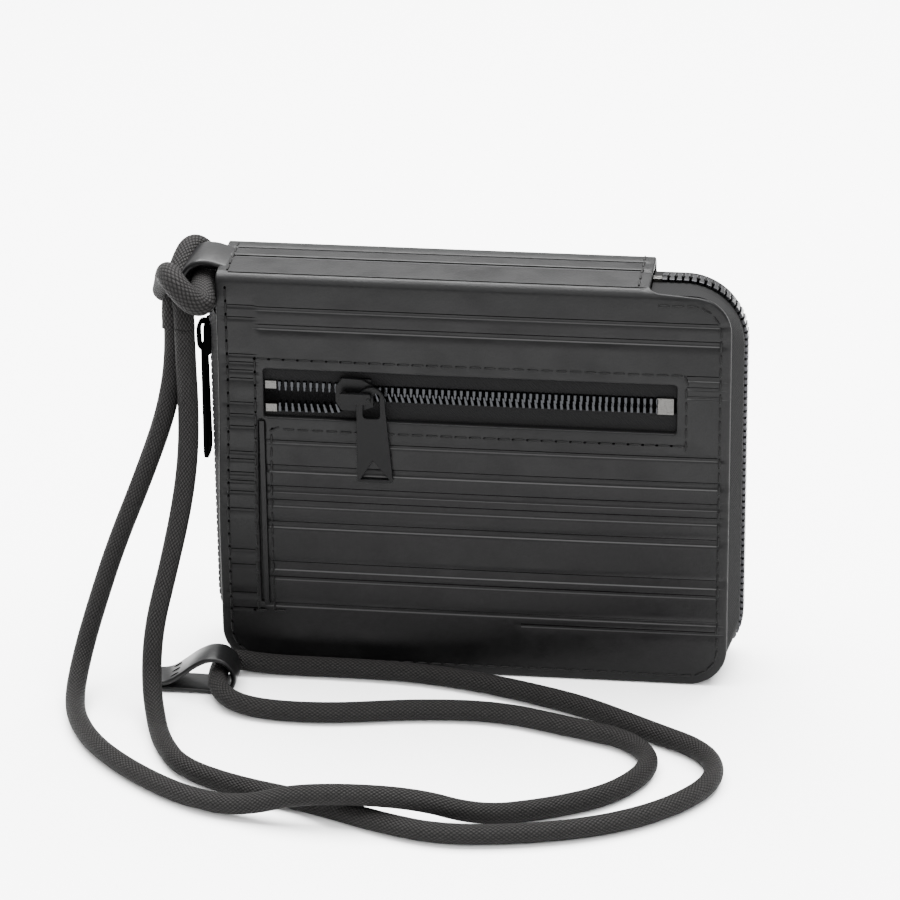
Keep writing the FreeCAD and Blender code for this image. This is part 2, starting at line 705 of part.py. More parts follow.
CORD_ROUTE = [
    (-76.2, -9.5, 95.0), (-76.2, -9.5, 86.0), (-78.3, -12.5, 72.5), (-84.0, -17.0, 56.0),
    (-91.0, -22.0, 38.5), (-96.0, -26.0, 23.0), (-99.6, -29.0, 10.5), (-100.2, -40.0, 3.2),
    (-97.0, -52.0, 2.6), (-89.5, -65.0, 2.6), (-77.0, -77.5, 2.6), (-62.0, -88.0, 2.6),
    (-48.0, -92.0, 3.2), (-33.0, -93.0, 8.6), (-6.0, -92.5, 8.6), (10.0, -89.5, 2.6),
    (27.0, -84.0, 2.6), (42.0, -75.0, 2.6), (50.5, -60.0, 2.6), (44.5, -48.0, 2.6),
    (27.0, -42.0, 2.6), (9.0, -36.0, 2.6), (-12.0, -37.0, 2.6), (-33.0, -41.5, 2.6),
    (-50.0, -41.5, 2.6), (-60.0, -38.5, 3.0), (-65.0, -32.0, 4.4), (-65.0, -17.5, 4.4),
    (-53.0, -17.0, 2.6), (-36.0, -16.8, 2.6), (-17.0, -17.2, 2.6), (-1.0, -20.0, 2.6),
    (15.0, -25.0, 2.6), (31.0, -31.5, 2.6), (47.0, -42.0, 2.6), (63.5, -52.0, 2.6),
    (66.5, -66.0, 2.6), (56.5, -80.5, 2.6), (41.0, -91.0, 2.6), (22.0, -97.0, 2.6),
    (2.0, -99.5, 2.6), (-14.0, -95.0, 2.6), (-33.0, -86.5, 2.6), (-52.0, -81.0, 2.6),
    (-66.5, -73.0, 2.6), (-73.0, -62.0, 2.6), (-76.5, -52.0, 2.6), (-79.8, -41.0, 8.5),
    (-79.5, -36.5, 21.5), (-76.5, -30.5, 35.0), (-73.6, -23.0, 49.5), (-72.3, -18.0, 62.0),
    (-72.3, -15.0, 75.0), (-72.8, -13.8, 86.5), (-72.8, -13.8, 96.0),
]
# The route's point where the cord goes into the keeper.
KEEPER_POINT = 26


def rounded_route(points, share):
    """Straight runs joined by tangent arcs, each as large as its two runs allow."""
    vectors = [FreeCAD.Vector(*point) for point in points]
    edges, start = [], vectors[0]
    radii = []
    for before, corner, after in zip(vectors, vectors[1:], vectors[2:]):
        back, ahead = before - corner, after - corner
        reach = share * min(back.Length, ahead.Length)
        turn = math.pi - back.getAngle(ahead)
        radii.append(reach / math.tan(turn / 2))
        back.normalize()
        ahead.normalize()
        enter, leave = corner + back * reach, corner + ahead * reach
        middle = (back + ahead).normalize()
        near = radii[-1] / math.cos(turn / 2) - radii[-1]
        edges.append(Part.LineSegment(start, enter).toShape())
        edges.append(Part.Arc(enter, corner + middle * near, leave).toShape())
        start = leave
    edges.append(Part.LineSegment(start, vectors[-1]).toShape())
    return Part.Wire(edges), radii


def build_neck_cord():
    radius = size("cord_diameter") / 2
    path, radii = rounded_route(CORD_ROUTE, 0.45)
    start = FreeCAD.Vector(*CORD_ROUTE[0])
    heading = FreeCAD.Vector(*CORD_ROUTE[1]) - start
    section = Part.Wire([Part.makeCircle(radius, start, heading)])
    tube = path.makePipeShell([section], True, True)
    expected = math.pi * radius ** 2 * path.Length
    print("cord length", round(path.Length, 1), "volume / expected", round(tube.Volume / expected, 4))
    print("cord radii", [round(value, 1) for value in radii])
    solid_node("neck_cord", tube)


def build_cord_hitch(eye_x, eye_z):
    """The cord's bight through the tab's eye and round its outside, with both strands' first stubs."""
    high, band = size("hitch_height"), size("hitch_band")
    spread, half = size("hitch_spread"), size("hitch_half_length")
    centre_x = eye_x - spread / 2
    z_low = eye_z - high / 2

    def racetrack(radius):
        ends = [Part.makeCylinder(radius, high, FreeCAD.Vector(centre_x, y, z_low)) for y in (-half, half)]
        return fused(ends + [block(centre_x - radius, centre_x + radius, -half, half, z_low, z_low + high)])

    hitch = racetrack(spread / 2 + band / 2).cut(racetrack(spread / 2 - band / 2))
    radius, overlap = size("cord_diameter") / 2, size("hitch_stub_overlap")
    stubs = []
    for x, y, z in (CORD_ROUTE[0], CORD_ROUTE[-1]):
        stubs.append(Part.makeCylinder(radius, z_low + overlap - z, FreeCAD.Vector(x, y, z)))
    solid_node("cord_hitch", fused([hitch] + stubs))


def build_cord_keeper():
    """A strip folded round the cord where both strands meet, its two ends sewn flat together."""
    thick, loop = size("keeper_leather"), size("keeper_loop_radius")
    half = size("keeper_width") / 2
    y_low, y_high = size("keeper_centre_y") - half, size("keeper_centre_y") + half
    x, z = CORD_ROUTE[KEEPER_POINT][0], loop + thick
    tail, pinch = x - size("keeper_tail"), x - size("keeper_pinch")
    touch = math.radians(size("keeper_touch_angle"))

    def on_round(radius):
        return x + radius * math.cos(touch), z + radius * math.sin(touch)

    flat_top = 2 * thick
    outer_line = [(x, 0), (tail, 0), (tail, flat_top), (pinch, flat_top), on_round(loop + thick), (x, z)]
    inner_line = [(x, thick), (pinch + size("keeper_fold_gap"), thick), on_round(loop), (x, z)]
    outside = prism_y(outer_line, y_low, y_high)
    inside = prism_y(inner_line, y_low, y_high)
    body = fused([disc_y(x, z, loop + thick, y_low, y_high), outside])
    hollow = fused([disc_y(x, z, loop, y_low, y_high), inside])
    solid_node("cord_keeper", body.cut(hollow))


# ---- Build, check, write ------------------------------------------------------------------------

build_front_cover()
build_pocket_welt()
build_back_cover()
build_spine_board()
build_front_stack()
build_back_stack()
build_pocket_teeth()
build_pocket_tapes()
build_pocket_stops()
build_pocket_slider()
build_pocket_puller()
build_main_zip()
build_main_slider()
build_main_puller()
tab_x, tab_z = build_tab_loop()
build_neck_cord()
build_cord_hitch(tab_x, tab_z)
build_cord_keeper()
DOC.recompute()

for item in DOC.Objects:
    if "Invalid" in item.State or "Error" in item.State:
        raise RuntimeError(f"{item.Name} failed: {item.State}")
for node in NODES:
    if node.Shape.isNull() or not node.Shape.isValid() or not node.Shape.Solids:
        raise RuntimeError(f"{node.Label} has no valid solid")

os.makedirs("parts", exist_ok=True)
for node in NODES:
    node.Shape.exportStep(f"parts/{node.Label}.step")
    box = node.Shape.BoundBox
    print(f"{node.Label:22s} {len(node.Shape.Solids):3d} solids  x {box.XMin:7.2f} {box.XMax:7.2f}"
          f"  y {box.YMin:7.2f} {box.YMax:7.2f}  z {box.ZMin:7.2f} {box.ZMax:7.2f}")
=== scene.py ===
import math

import bpy
import numpy as np
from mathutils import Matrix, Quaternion, Vector
from mathutils.geometry import delaunay_2d_cdt


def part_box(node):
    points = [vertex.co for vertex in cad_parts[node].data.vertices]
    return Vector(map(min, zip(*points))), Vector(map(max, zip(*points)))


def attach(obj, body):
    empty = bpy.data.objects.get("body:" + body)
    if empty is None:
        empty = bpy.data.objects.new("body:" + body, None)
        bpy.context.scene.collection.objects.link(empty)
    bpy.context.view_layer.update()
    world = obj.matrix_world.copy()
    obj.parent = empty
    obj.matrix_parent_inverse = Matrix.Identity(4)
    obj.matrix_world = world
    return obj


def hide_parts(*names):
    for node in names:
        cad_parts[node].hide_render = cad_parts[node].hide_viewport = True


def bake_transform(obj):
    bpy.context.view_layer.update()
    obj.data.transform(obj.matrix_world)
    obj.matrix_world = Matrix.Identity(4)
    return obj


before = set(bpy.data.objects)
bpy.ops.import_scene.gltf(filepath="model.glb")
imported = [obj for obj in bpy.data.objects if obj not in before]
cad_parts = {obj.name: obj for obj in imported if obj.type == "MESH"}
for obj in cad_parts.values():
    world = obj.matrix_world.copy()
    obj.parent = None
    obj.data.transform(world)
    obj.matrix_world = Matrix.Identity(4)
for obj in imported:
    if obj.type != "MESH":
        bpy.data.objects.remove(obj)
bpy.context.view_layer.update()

# ---- Camera ----
# A long lens stands 1.2 m from the closed wallet, a little to its right, and looks down at it.
# Everything is in focus, and the picture is square.
CAMERA_TARGET = Vector((-0.0075, 0.0, 0.0583))
CAMERA_DISTANCE = 1.2
CAMERA_AZIMUTH = math.radians(7.335)
CAMERA_ELEVATION = math.radians(25.394)
CAMERA_ROLL = math.radians(-0.686)

camera_data = bpy.data.cameras.new("camera")
camera_data.lens = 187.2
camera_data.sensor_width = 36.0
camera_data.clip_start = 0.05
camera = bpy.data.objects.new("camera", camera_data)
bpy.context.scene.collection.objects.link(camera)
backward = Vector((
    math.sin(CAMERA_AZIMUTH) * math.cos(CAMERA_ELEVATION),
    -math.cos(CAMERA_AZIMUTH) * math.cos(CAMERA_ELEVATION),
    math.sin(CAMERA_ELEVATION),
))
camera.location = CAMERA_TARGET + CAMERA_DISTANCE * backward
camera.rotation_mode = "QUATERNION"
level_view = (-backward).to_track_quat("-Z", "Y")
camera.rotation_quaternion = Quaternion(backward, CAMERA_ROLL) @ level_view
bpy.context.scene.camera = camera


# ---- Floor and light ----
# A seamless white sweep of paper under two large soft boxes and an even white room.
# The overhead box gives the spine its bright satin sheen and a soft contact shadow.
FLOOR_HALF = 1.6
ROOM_STRENGTH = 1.3


def principled(name, color, roughness, metallic=0.0, gloss=0.08):
    """A new material with its Principled shader's plain values set."""
    material = bpy.data.materials.new(name)
    material.use_nodes = True
    shader = material.node_tree.nodes["Principled BSDF"]
    shader.inputs["Base Color"].default_value = (*color, 1.0)
    shader.inputs["Roughness"].default_value = roughness
    shader.inputs["Metallic"].default_value = metallic
    shader.inputs["Specular IOR Level"].default_value = gloss
    return material


def new_object(name, vertices, faces, material, smooth=True):
    """A mesh object at the origin, from vertices in metres in the row frame."""
    mesh = bpy.data.meshes.new(name)
    mesh.from_pydata([tuple(map(float, v)) for v in vertices], [], [tuple(map(int, f)) for f in faces])
    mesh.polygons.foreach_set("use_smooth", [smooth] * len(mesh.polygons))
    mesh.materials.append(material)
    mesh.update()
    made = bpy.data.objects.new(name, mesh)
    bpy.context.scene.collection.objects.link(made)
    return made


floor_corners = [(x * FLOOR_HALF, y * FLOOR_HALF, -0.0002) for x, y in ((-1, -1), (1, -1), (1, 1), (-1, 1))]
floor = new_object("floor", floor_corners, [(0, 1, 2, 3)], principled("paper", (0.87, 0.87, 0.87), 0.9))

world = bpy.data.worlds.new("room")
world.use_nodes = True
world.node_tree.nodes["Background"].inputs["Color"].default_value = (1.0, 1.0, 1.0, 1.0)
world.node_tree.nodes["Background"].inputs["Strength"].default_value = ROOM_STRENGTH
bpy.context.scene.world = world

for name, place, aim, size, power in (
    ("overhead_box", (0.0, 0.25, 0.95), (0, 0, 0.0), 1.2, 120.0),
    ("front_box", (0.1, -1.0, 0.95), (0, 0, 0.05), 0.9, 17.0),
):
    light_data = bpy.data.lights.new(name, "AREA")
    light_data.size = size
    light_data.energy = power
    light = bpy.data.objects.new(name, light_data)
    light.location = place
    light.rotation_mode = "QUATERNION"
    light.rotation_quaternion = (Vector(aim) - Vector(place)).to_track_quat("-Z", "Y")
    bpy.context.scene.collection.objects.link(light)


# ---- Neck cord ----
# One soft braided cord of charcoal polyester, about 5 mm thick, hitched to the tab at both ends.
# It hangs from the tab, lies in two flat loops on the floor and passes once through the keeper.
CORD_DIAMETER = 0.0052
CORD_STEP = 0.0011
CORD_SIDES = 28
BRAID_CELLS = 9
BRAID_CELL_LENGTH = 0.0013
CREASE_RELIEF = 0.07
CORD_ROUTE = [
    (-0.0762, -0.0095, 0.0950), (-0.0762, -0.0095, 0.0860), (-0.0783, -0.0125, 0.0725),
    (-0.0840, -0.0170, 0.0560), (-0.0910, -0.0220, 0.0385), (-0.0960, -0.0260, 0.0230),
    (-0.0996, -0.0290, 0.0105), (-0.1002, -0.0400, 0.0032), (-0.0970, -0.0520, 0.0026),
    (-0.0895, -0.0650, 0.0026), (-0.0770, -0.0775, 0.0026), (-0.0620, -0.0880, 0.0026),
    (-0.0480, -0.0920, 0.0032), (-0.0330, -0.0930, 0.0086), (-0.0060, -0.0925, 0.0086),
    (0.0100, -0.0895, 0.0026), (0.0270, -0.0840, 0.0026), (0.0420, -0.0750, 0.0026),
    (0.0505, -0.0600, 0.0026), (0.0445, -0.0480, 0.0026), (0.0270, -0.0420, 0.0026),
    (0.0090, -0.0360, 0.0026), (-0.0120, -0.0370, 0.0026), (-0.0330, -0.0415, 0.0026),
    (-0.0500, -0.0415, 0.0026), (-0.0600, -0.0385, 0.0030), (-0.0650, -0.0320, 0.0044),
    (-0.0650, -0.0175, 0.0044), (-0.0530, -0.0170, 0.0026), (-0.0360, -0.0168, 0.0026),
    (-0.0170, -0.0172, 0.0026), (-0.0010, -0.0200, 0.0026), (0.0150, -0.0250, 0.0026),
    (0.0310, -0.0315, 0.0026), (0.0470, -0.0420, 0.0026), (0.0635, -0.0520, 0.0026),
    (0.0665, -0.0660, 0.0026), (0.0565, -0.0805, 0.0026), (0.0410, -0.0910, 0.0026),
    (0.0220, -0.0970, 0.0026), (0.0020, -0.0995, 0.0026), (-0.0140, -0.0950, 0.0026),
    (-0.0330, -0.0865, 0.0026), (-0.0520, -0.0810, 0.0026), (-0.0665, -0.0730, 0.0026),
    (-0.0730, -0.0620, 0.0026), (-0.0765, -0.0520, 0.0026), (-0.0798, -0.0410, 0.0085),
    (-0.0795, -0.0365, 0.0215), (-0.0765, -0.0305, 0.0350), (-0.0736, -0.0230, 0.0495),
    (-0.0723, -0.0180, 0.0620), (-0.0723, -0.0150, 0.0750), (-0.0728, -0.0138, 0.0865),
    (-0.0728, -0.0138, 0.0960),
]


def spline_line(name, points, step):
    """Evenly spaced points along the smooth spline of given points, and the length up to each."""
    curve = bpy.data.curves.new(name, "CURVE")
    curve.dimensions = "3D"
    curve.resolution_u = 16
    spline = curve.splines.new("NURBS")
    spline.points.add(len(points) - 1)
    for slot, place in zip(spline.points, points):
        slot.co = (*place, 1.0)
    spline.order_u = 3
    spline.use_endpoint_u = True
    holder = bpy.data.objects.new(name, curve)
    bpy.context.scene.collection.objects.link(holder)
    bpy.context.view_layer.update()
    seen = holder.evaluated_get(bpy.context.evaluated_depsgraph_get())
    mesh = bpy.data.meshes.new_from_object(seen)
    raw = np.array([v.co for v in mesh.vertices], float)
    bpy.data.meshes.remove(mesh)
    bpy.data.objects.remove(holder)
    bpy.data.curves.remove(curve)
    along = np.r_[0.0, np.cumsum(np.linalg.norm(np.diff(raw, axis=0), axis=1))]
    count = max(int(round(along[-1] / step)), 2)
    even = np.linspace(0.0, along[-1], count + 1)
    return np.column_stack([np.interp(even, along, raw[:, k]) for k in range(3)]), even


def tube(name, line, along, section, sides, material):
    """A capped tube along the line. section(run, angles) gives its radii; the UV map holds (length, turn)."""
    tangents = np.gradient(line, axis=0)
    tangents /= np.linalg.norm(tangents, axis=1)[:, None]
    normal = np.cross(tangents[0], (0.0, 0.0, 1.0) if abs(tangents[0][2]) < 0.9 else (0.0, 1.0, 0.0))
    angles = np.arange(sides) * 2 * math.pi / sides
    rings = []
    for place, tangent, run in zip(line, tangents, along):
        normal = normal - tangent * np.dot(normal, tangent)
        normal /= np.linalg.norm(normal)
        binormal = np.cross(tangent, normal)
        radius = section(run, angles)
        across = np.cos(angles)[:, None] * normal + np.sin(angles)[:, None] * binormal
        rings.append(place + across * radius[:, None])
    vertices = np.vstack(rings)
    count = len(line)
    faces = []
    for i in range(count - 1):
        for j in range(sides):
            k = (j + 1) % sides
            faces.append((i * sides + j, i * sides + k, (i + 1) * sides + k, (i + 1) * sides + j))
    faces.append(tuple(reversed(range(sides))))
    faces.append(tuple((count - 1) * sides + j for j in range(sides)))
    made = new_object(name, vertices, faces, material)
    layer = made.data.uv_layers.new(name="UVMap")
    corner_vertex = np.zeros(len(made.data.loops), int)
    made.data.loops.foreach_get("vertex_index", corner_vertex)
    uv = np.zeros((len(corner_vertex), 2))
    uv[:, 0] = np.asarray(along)[corner_vertex // sides]
    turn = (corner_vertex % sides) / sides
    # The last quad of each ring ends at a whole turn instead of back at zero. This is a view into turn.
    quad_turns = turn[:len(turn) - 2 * sides].reshape(-1, 4)
    quad_turns[:, 1:3] = np.where(quad_turns[:, 1:3] == 0, 1.0, quad_turns[:, 1:3])
    uv[:, 1] = turn
    layer.data.foreach_set("uv", uv.ravel())
    return made


def creased(radius):
    """The radius round and along a soft cord: a little oval, with one slow crease along it."""
    def section(run, angles):
        crease_at = 2.2 * math.sin(run * 31.0) + 1.1 * math.sin(run * 73.0)
        from_crease = (angles - crease_at + math.pi) % (2 * math.pi) - math.pi
        crease = np.exp(-(from_crease / 0.32) ** 2) * (0.6 + 0.4 * math.sin(run * 47.0))
        oval = 0.03 * np.cos(2 * angles + 3.0 * math.sin(run * 19.0))
        return radius * (1.0 - CREASE_RELIEF * crease + oval)
    return section


def node(material, kind, **values):
    """A new shader node with its named inputs set; a socket as value is linked."""
    tree = material.node_tree
    made = tree.nodes.new(kind)
    for key, value in values.items():
        socket = made.inputs[key.replace("_", " ")] if key.replace("_", " ") in made.inputs else None
        if socket is None:
            setattr(made, key, value)
        elif isinstance(value, bpy.types.NodeSocket):
            tree.links.new(value, socket)
        else:
            socket.default_value = value
    return made


def shade(material, **sockets):
    """Links sockets to the material's Principled shader, or sets plain values on it."""
    shader = material.node_tree.nodes["Principled BSDF"]
    for key, value in sockets.items():
        socket = shader.inputs[key.replace("_", " ")]
        if isinstance(value, bpy.types.NodeSocket):
            material.node_tree.links.new(value, socket)
        else:
            socket.default_value = value


def color_ramp(material, factor, stops):
    """A colour ramp over the factor, from (position, colour) stops."""
    ramp = material.node_tree.nodes.new("ShaderNodeValToRGB")
    material.node_tree.links.new(factor, ramp.inputs["Fac"])
    while len(ramp.color_ramp.elements) < len(stops):
        ramp.color_ramp.elements.new(0.5)
    for element, (position, color) in zip(ramp.color_ramp.elements, stops):
        element.position = position
        element.color = (*color, 1.0)
    return ramp.outputs["Color"]


def calculate(material, operation, one, two=0.0):
    """One step of arithmetic in a material."""
    step = material.node_tree.nodes.new("ShaderNodeMath")
    step.operation = operation
    for socket, value in zip(step.inputs, (one, two)):
        if isinstance(value, bpy.types.NodeSocket):
            material.node_tree.links.new(value, socket)
        else:
            socket.default_value = value
    return step.outputs[0]


cord_braid = principled("cord_braid", (0.005, 0.005, 0.005), 0.7, gloss=0.05)
cord_uv = node(cord_braid, "ShaderNodeTexCoord").outputs["UV"]
cord_chart = node(cord_braid, "ShaderNodeSeparateXYZ", Vector=cord_uv)
cord_turn = calculate(cord_braid, "MULTIPLY", cord_chart.outputs["Y"], BRAID_CELLS * 2 * math.pi)
cord_run = calculate(cord_braid, "MULTIPLY", cord_chart.outputs["X"], math.pi / BRAID_CELL_LENGTH)
cord_left = calculate(cord_braid, "SINE", calculate(cord_braid, "ADD", cord_turn, cord_run))
cord_right = calculate(cord_braid, "SINE", calculate(cord_braid, "SUBTRACT", cord_turn, cord_run))
cord_cell = calculate(cord_braid, "ABSOLUTE", calculate(cord_braid, "MULTIPLY", cord_left, cord_right))
cord_relief = calculate(cord_braid, "POWER", cord_cell, 0.6)
cord_place = node(cord_braid, "ShaderNodeTexCoord").outputs["Object"]
cord_fibres = node(cord_braid, "ShaderNodeTexNoise", Vector=cord_place, Scale=1400.0, Detail=2.0)
cord_fuzz = calculate(cord_braid, "ADD", cord_fibres.outputs["Fac"], 0.5)
cord_tone = calculate(cord_braid, "MULTIPLY", cord_relief, cord_fuzz)
# The colour ramp darkens the braid's grooves, where the relief is low, as painted shade; the fibre noise
# varies the tone.
cord_groove_shade_tones = [(0.05, (0.0012, 0.0012, 0.0012)), (0.9, (0.0135, 0.0129, 0.0127))]
cord_bump = node(cord_braid, "ShaderNodeBump", Height=cord_tone, Strength=0.8, Distance=0.00035)
shade(cord_braid, Base_Color=color_ramp(cord_braid, cord_tone, cord_groove_shade_tones), Normal=cord_bump.outputs[0])

cord_line, cord_along = spline_line("cord_route", CORD_ROUTE, CORD_STEP)
neck_cord = tube("neck_cord_braid", cord_line, cord_along, creased(CORD_DIAMETER / 2), CORD_SIDES, cord_braid)
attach(neck_cord, "front_half")
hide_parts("neck_cord")


# ---- Cord hitch ----
# The middle of the cord is pushed through the tab's eye and both strands are drawn through its bight.
# It is the same braided cord, a little swollen where it bends round the leather.
HITCH_DIAMETER = 0.0064
HITCH_STEP = 0.0005
HITCH_ROUTE = [
    (-0.0762, -0.0095, 0.0940), (-0.0763, -0.0088, 0.0985), (-0.0762, -0.0045, 0.1034),
    (-0.0754, 0.0030, 0.1074), (-0.0743, 0.0082, 0.1090), (-0.0724, 0.0102, 0.1076),
    (-0.0704, 0.0094, 0.1052), (-0.0697, 0.0050, 0.1046), (-0.0695, -0.0010, 0.1044),
    (-0.0691, -0.0072, 0.1043), (-0.0680, -0.0120, 0.1040), (-0.0677, -0.0156, 0.1032),
    (-0.0697, -0.0176, 0.1044), (-0.0720, -0.0178, 0.1068), (-0.0744, -0.0168, 0.1092),
    (-0.0764, -0.0132, 0.1100), (-0.0776, -0.0094, 0.1082), (-0.0786, -0.0058, 0.1044),
    (-0.0795, -0.0036, 0.1014),
]
hitch_line, hitch_along = spline_line("hitch_route", HITCH_ROUTE, HITCH_STEP)
hitch_cord = tube("hitch_bight", hitch_line, hitch_along, creased(HITCH_DIAMETER / 2), CORD_SIDES, cord_braid)
SECOND_STRAND = [
    (-0.0728, -0.0138, 0.0955), (-0.0730, -0.0130, 0.0990), (-0.0738, -0.0100, 0.1020),
    (-0.0752, -0.0070, 0.1040),
]
strand_line, strand_along = spline_line("second_strand_route", SECOND_STRAND, HITCH_STEP)
hitch_strand = tube("hitch_strand", strand_line, strand_along, creased(CORD_DIAMETER / 2), CORD_SIDES,
                    cord_braid)
for piece in (hitch_cord, hitch_strand):
    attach(piece, "front_half")
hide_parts("cord_hitch")


# ---- Leather cover ----
# One sheet of black embossed leather makes the front, the spine and the back.
# Uneven lines are pressed across it and its edges are painted.
# Its pressed lines carry painted light: painted shade along one lip of each line,
# and painted highlight along the other lip of all but the left strip's lines.
# The wallet opens along the rear edge of the spine; the sheet is built closed.
PANEL_HALF = 0.065
SPINE_RIGHT = 0.0443
COVER_Y = 0.012
COVER_TOP = 0.110
FOLD_RADIUS = 0.0025
LEATHER = 0.0012
CORNER = 0.010
WINDOW = (-0.0534, 0.0515, 0.0712, 0.0845)
SLIT = (-0.0548, -0.0534, 0.0182, 0.0702)
EDGE_ROUND = 0.0005
LINE_SOFT = 0.00015
LINE_END = 0.0012
LINE_ROW_GAP = 0.00012
OUTLINE_STEP = 0.0012
RING_INSETS = (0.0, 0.00012, 0.0003, EDGE_ROUND)
BOW = 0.0005
MID_HEIGHT = 0.0545
TOP_EDGE = 0.1088
BACK_EDGE = 0.1032
NOTCH = 0.0028
RISE = 0.0007
LOW_BULGE = 0.0011
# Each pressed line is a shallow trough: its low and high edge, its depth and the stretch of x it crosses.
PRESSED_LINES = [
    (0.1006, 0.1016, 0.00016, -0.0548, 0.065), (0.0955, 0.0968, 0.00024, -0.0548, 0.065),
    (0.0639, 0.0648, 0.00018, -0.0548, 0.065), (0.0558, 0.0578, 0.00028, -0.0548, 0.065),
    (0.0500, 0.0519, 0.00024, -0.0548, 0.065), (0.0460, 0.0480, 0.00020, -0.0548, 0.065),
    (0.0400, 0.0418, 0.00028, -0.0548, 0.065), (0.0278, 0.0303, 0.00028, -0.0548, 0.065),
    (0.0250, 0.0259, 0.00012, -0.0548, 0.065), (0.0172, 0.0182, 0.00020, -0.0548, 0.065),
    (0.0146, 0.0154, 0.00012, 0.0120, 0.065), (0.0859, 0.0873, 0.00018, 0.0545, 0.065),
    (0.0835, 0.0842, 0.00012, 0.0545, 0.065), (0.0810, 0.0818, 0.00012, 0.0545, 0.065),
] + [
    (height, height + 0.0009, 0.00015, -0.065, -0.0548)
    for height in (0.1010, 0.0977, 0.0875, 0.0853, 0.0831, 0.0808, 0.0741, 0.0708, 0.0674, 0.0603, 0.0581,
                   0.0544, 0.0520, 0.0490, 0.0441, 0.0324, 0.0280, 0.0199, 0.0155)
]
BACK_LINES = [
    (0.0978, 0.0992, 0.00024), (0.0906, 0.0915, 0.00010), (0.0780, 0.0801, 0.00026),
    (0.0738, 0.0750, 0.00016), (0.0612, 0.0631, 0.00028), (0.0524, 0.0533, 0.00012),
    (0.0485, 0.0502, 0.00024), (0.0372, 0.0390, 0.00028), (0.0258, 0.0267, 0.00010),
    (0.0217, 0.0233, 0.00022), (0.0114, 0.0124, 0.00016),
]
SPINE_LINES = [(-0.0002, 0.0010, 0.00024), (-0.0105, -0.0098, 0.00016), (0.0054, 0.0060, 0.00010)]

panel_length = COVER_TOP - FOLD_RADIUS
quarter_turn = FOLD_RADIUS * math.pi / 2
spine_flat = 2 * (COVER_Y - FOLD_RADIUS)
spine_start = panel_length + quarter_turn
spine_end = spine_start + spine_flat
sheet_length = 2 * panel_length + 2 * quarter_turn + spine_flat


def cover_profile(s, depth):
    """The sheet's section in y and z, at each length s up from the front's foot and depth under its face."""
    s = np.asarray(s, float)
    y = np.full_like(s, -COVER_Y)
    z = s.copy()
    normal = np.tile((-1.0, 0.0), (len(s), 1))
    for start, sign in ((panel_length, -1.0), (spine_end, 1.0)):
        turned = (s > start) & (s <= start + quarter_turn)
        angle = (s[turned] - start) / FOLD_RADIUS
        if sign < 0:
            way = np.column_stack([-np.cos(angle), np.sin(angle)])
        else:
            way = np.column_stack([np.sin(angle), np.cos(angle)])
        y[turned] = sign * (COVER_Y - FOLD_RADIUS) + way[:, 0] * FOLD_RADIUS
        z[turned] = panel_length + way[:, 1] * FOLD_RADIUS
        normal[turned] = way
    top = (s > spine_start) & (s <= spine_end)
    y[top] = -COVER_Y + FOLD_RADIUS + (s[top] - spine_start)
    z[top] = COVER_TOP
    normal[top] = (0.0, 1.0)
    back = s > spine_end + quarter_turn
    y[back] = COVER_Y
    z[back] = sheet_length - s[back]
    normal[back] = (1.0, 0.0)
    return y - normal[:, 0] * depth, z - normal[:, 1] * depth


def arc(centre, radius, start, end, count):
    """Points of an arc, angles in degrees, both ends included."""
    angles = np.radians(np.linspace(start, end, count))
    return [(centre[0] + radius * math.cos(a), centre[1] + radius * math.sin(a)) for a in angles]


def rounded_box(x0, x1, z0, z1, radius, count=5):
    """An anticlockwise rectangle with round corners."""
    return (arc((x1 - radius, z0 + radius), radius, -90, 0, count)
            + arc((x1 - radius, z1 - radius), radius, 0, 90, count)
            + arc((x0 + radius, z1 - radius), radius, 90, 180, count)
            + arc((x0 + radius, z0 + radius), radius, 180, 270, count))


def even_loop(points, step):
    """The closed outline with points added so that none are further apart than step."""
    out = []
    for a, b in zip(points, points[1:] + points[:1]):
        gap = math.dist(a, b)
        if gap < 1e-7:
            continue
        parts = max(int(math.ceil(gap / step)), 1)
        out += [(a[0] + (b[0] - a[0]) * k / parts, a[1] + (b[1] - a[1]) * k / parts) for k in range(parts)]
    return out


def inset_loop(points, distance):
    """The anticlockwise outline moved inwards by distance, point by point."""
    loop = np.array(points)
    along = np.roll(loop, -1, axis=0) - np.roll(loop, 1, axis=0)
    along /= np.linalg.norm(along, axis=1)[:, None]
    return loop + np.column_stack([-along[:, 1], along[:, 0]]) * distance


def inside(loop, points):
    """Even-odd test of many points against one closed outline."""
    loop = np.array(loop)
    hit = np.zeros(len(points), bool)
    for (ax, ay), (bx, by) in zip(loop, np.roll(loop, -1, axis=0)):
        if ay == by:
            continue
        crosses = ((points[:, 1] < ay) != (points[:, 1] < by))
        hit ^= crosses & (points[:, 0] < ax + (points[:, 1] - ay) * (bx - ax) / (by - ay))
    return hit


def distance_to(loop, points):
    """The distance from each point to the closed outline's own points."""
    loop = np.array(loop)
    best = np.full(len(points), 1.0)
    for start in range(0, len(loop), 64):
        block = loop[start:start + 64]
        gaps = np.linalg.norm(points[:, None, :] - block[None, :, :], axis=2)
        best = np.minimum(best, gaps.min(axis=1))
    return best


def step_up(past, width):
    """A straight ramp from 0 to 1 over the width, halfway where past is zero."""
    return np.clip(past / width + 0.5, 0, 1)


def rim_edges(skin):
    """The directed edges that only one of the triangles has: the rims of a sheet and of its holes."""
    rims = {}
    for triangle in skin:
        for one, two in zip(triangle, np.roll(triangle, -1)):
            if (two, one) in rims:
                del rims[(two, one)]
            else:
                rims[(one, two)] = True
    return list(rims)


def bulge(across, height):
    """How far the front's lower left side leans outwards, because the full pocket spreads it."""
    down = np.clip((0.085 - np.asarray(height, float)) / 0.05, 0, 1)
    left = np.clip(-np.asarray(across, float) / PANEL_HALF, 0, 1)
    return LOW_BULGE * down * down * (3 - 2 * down) * left ** 2


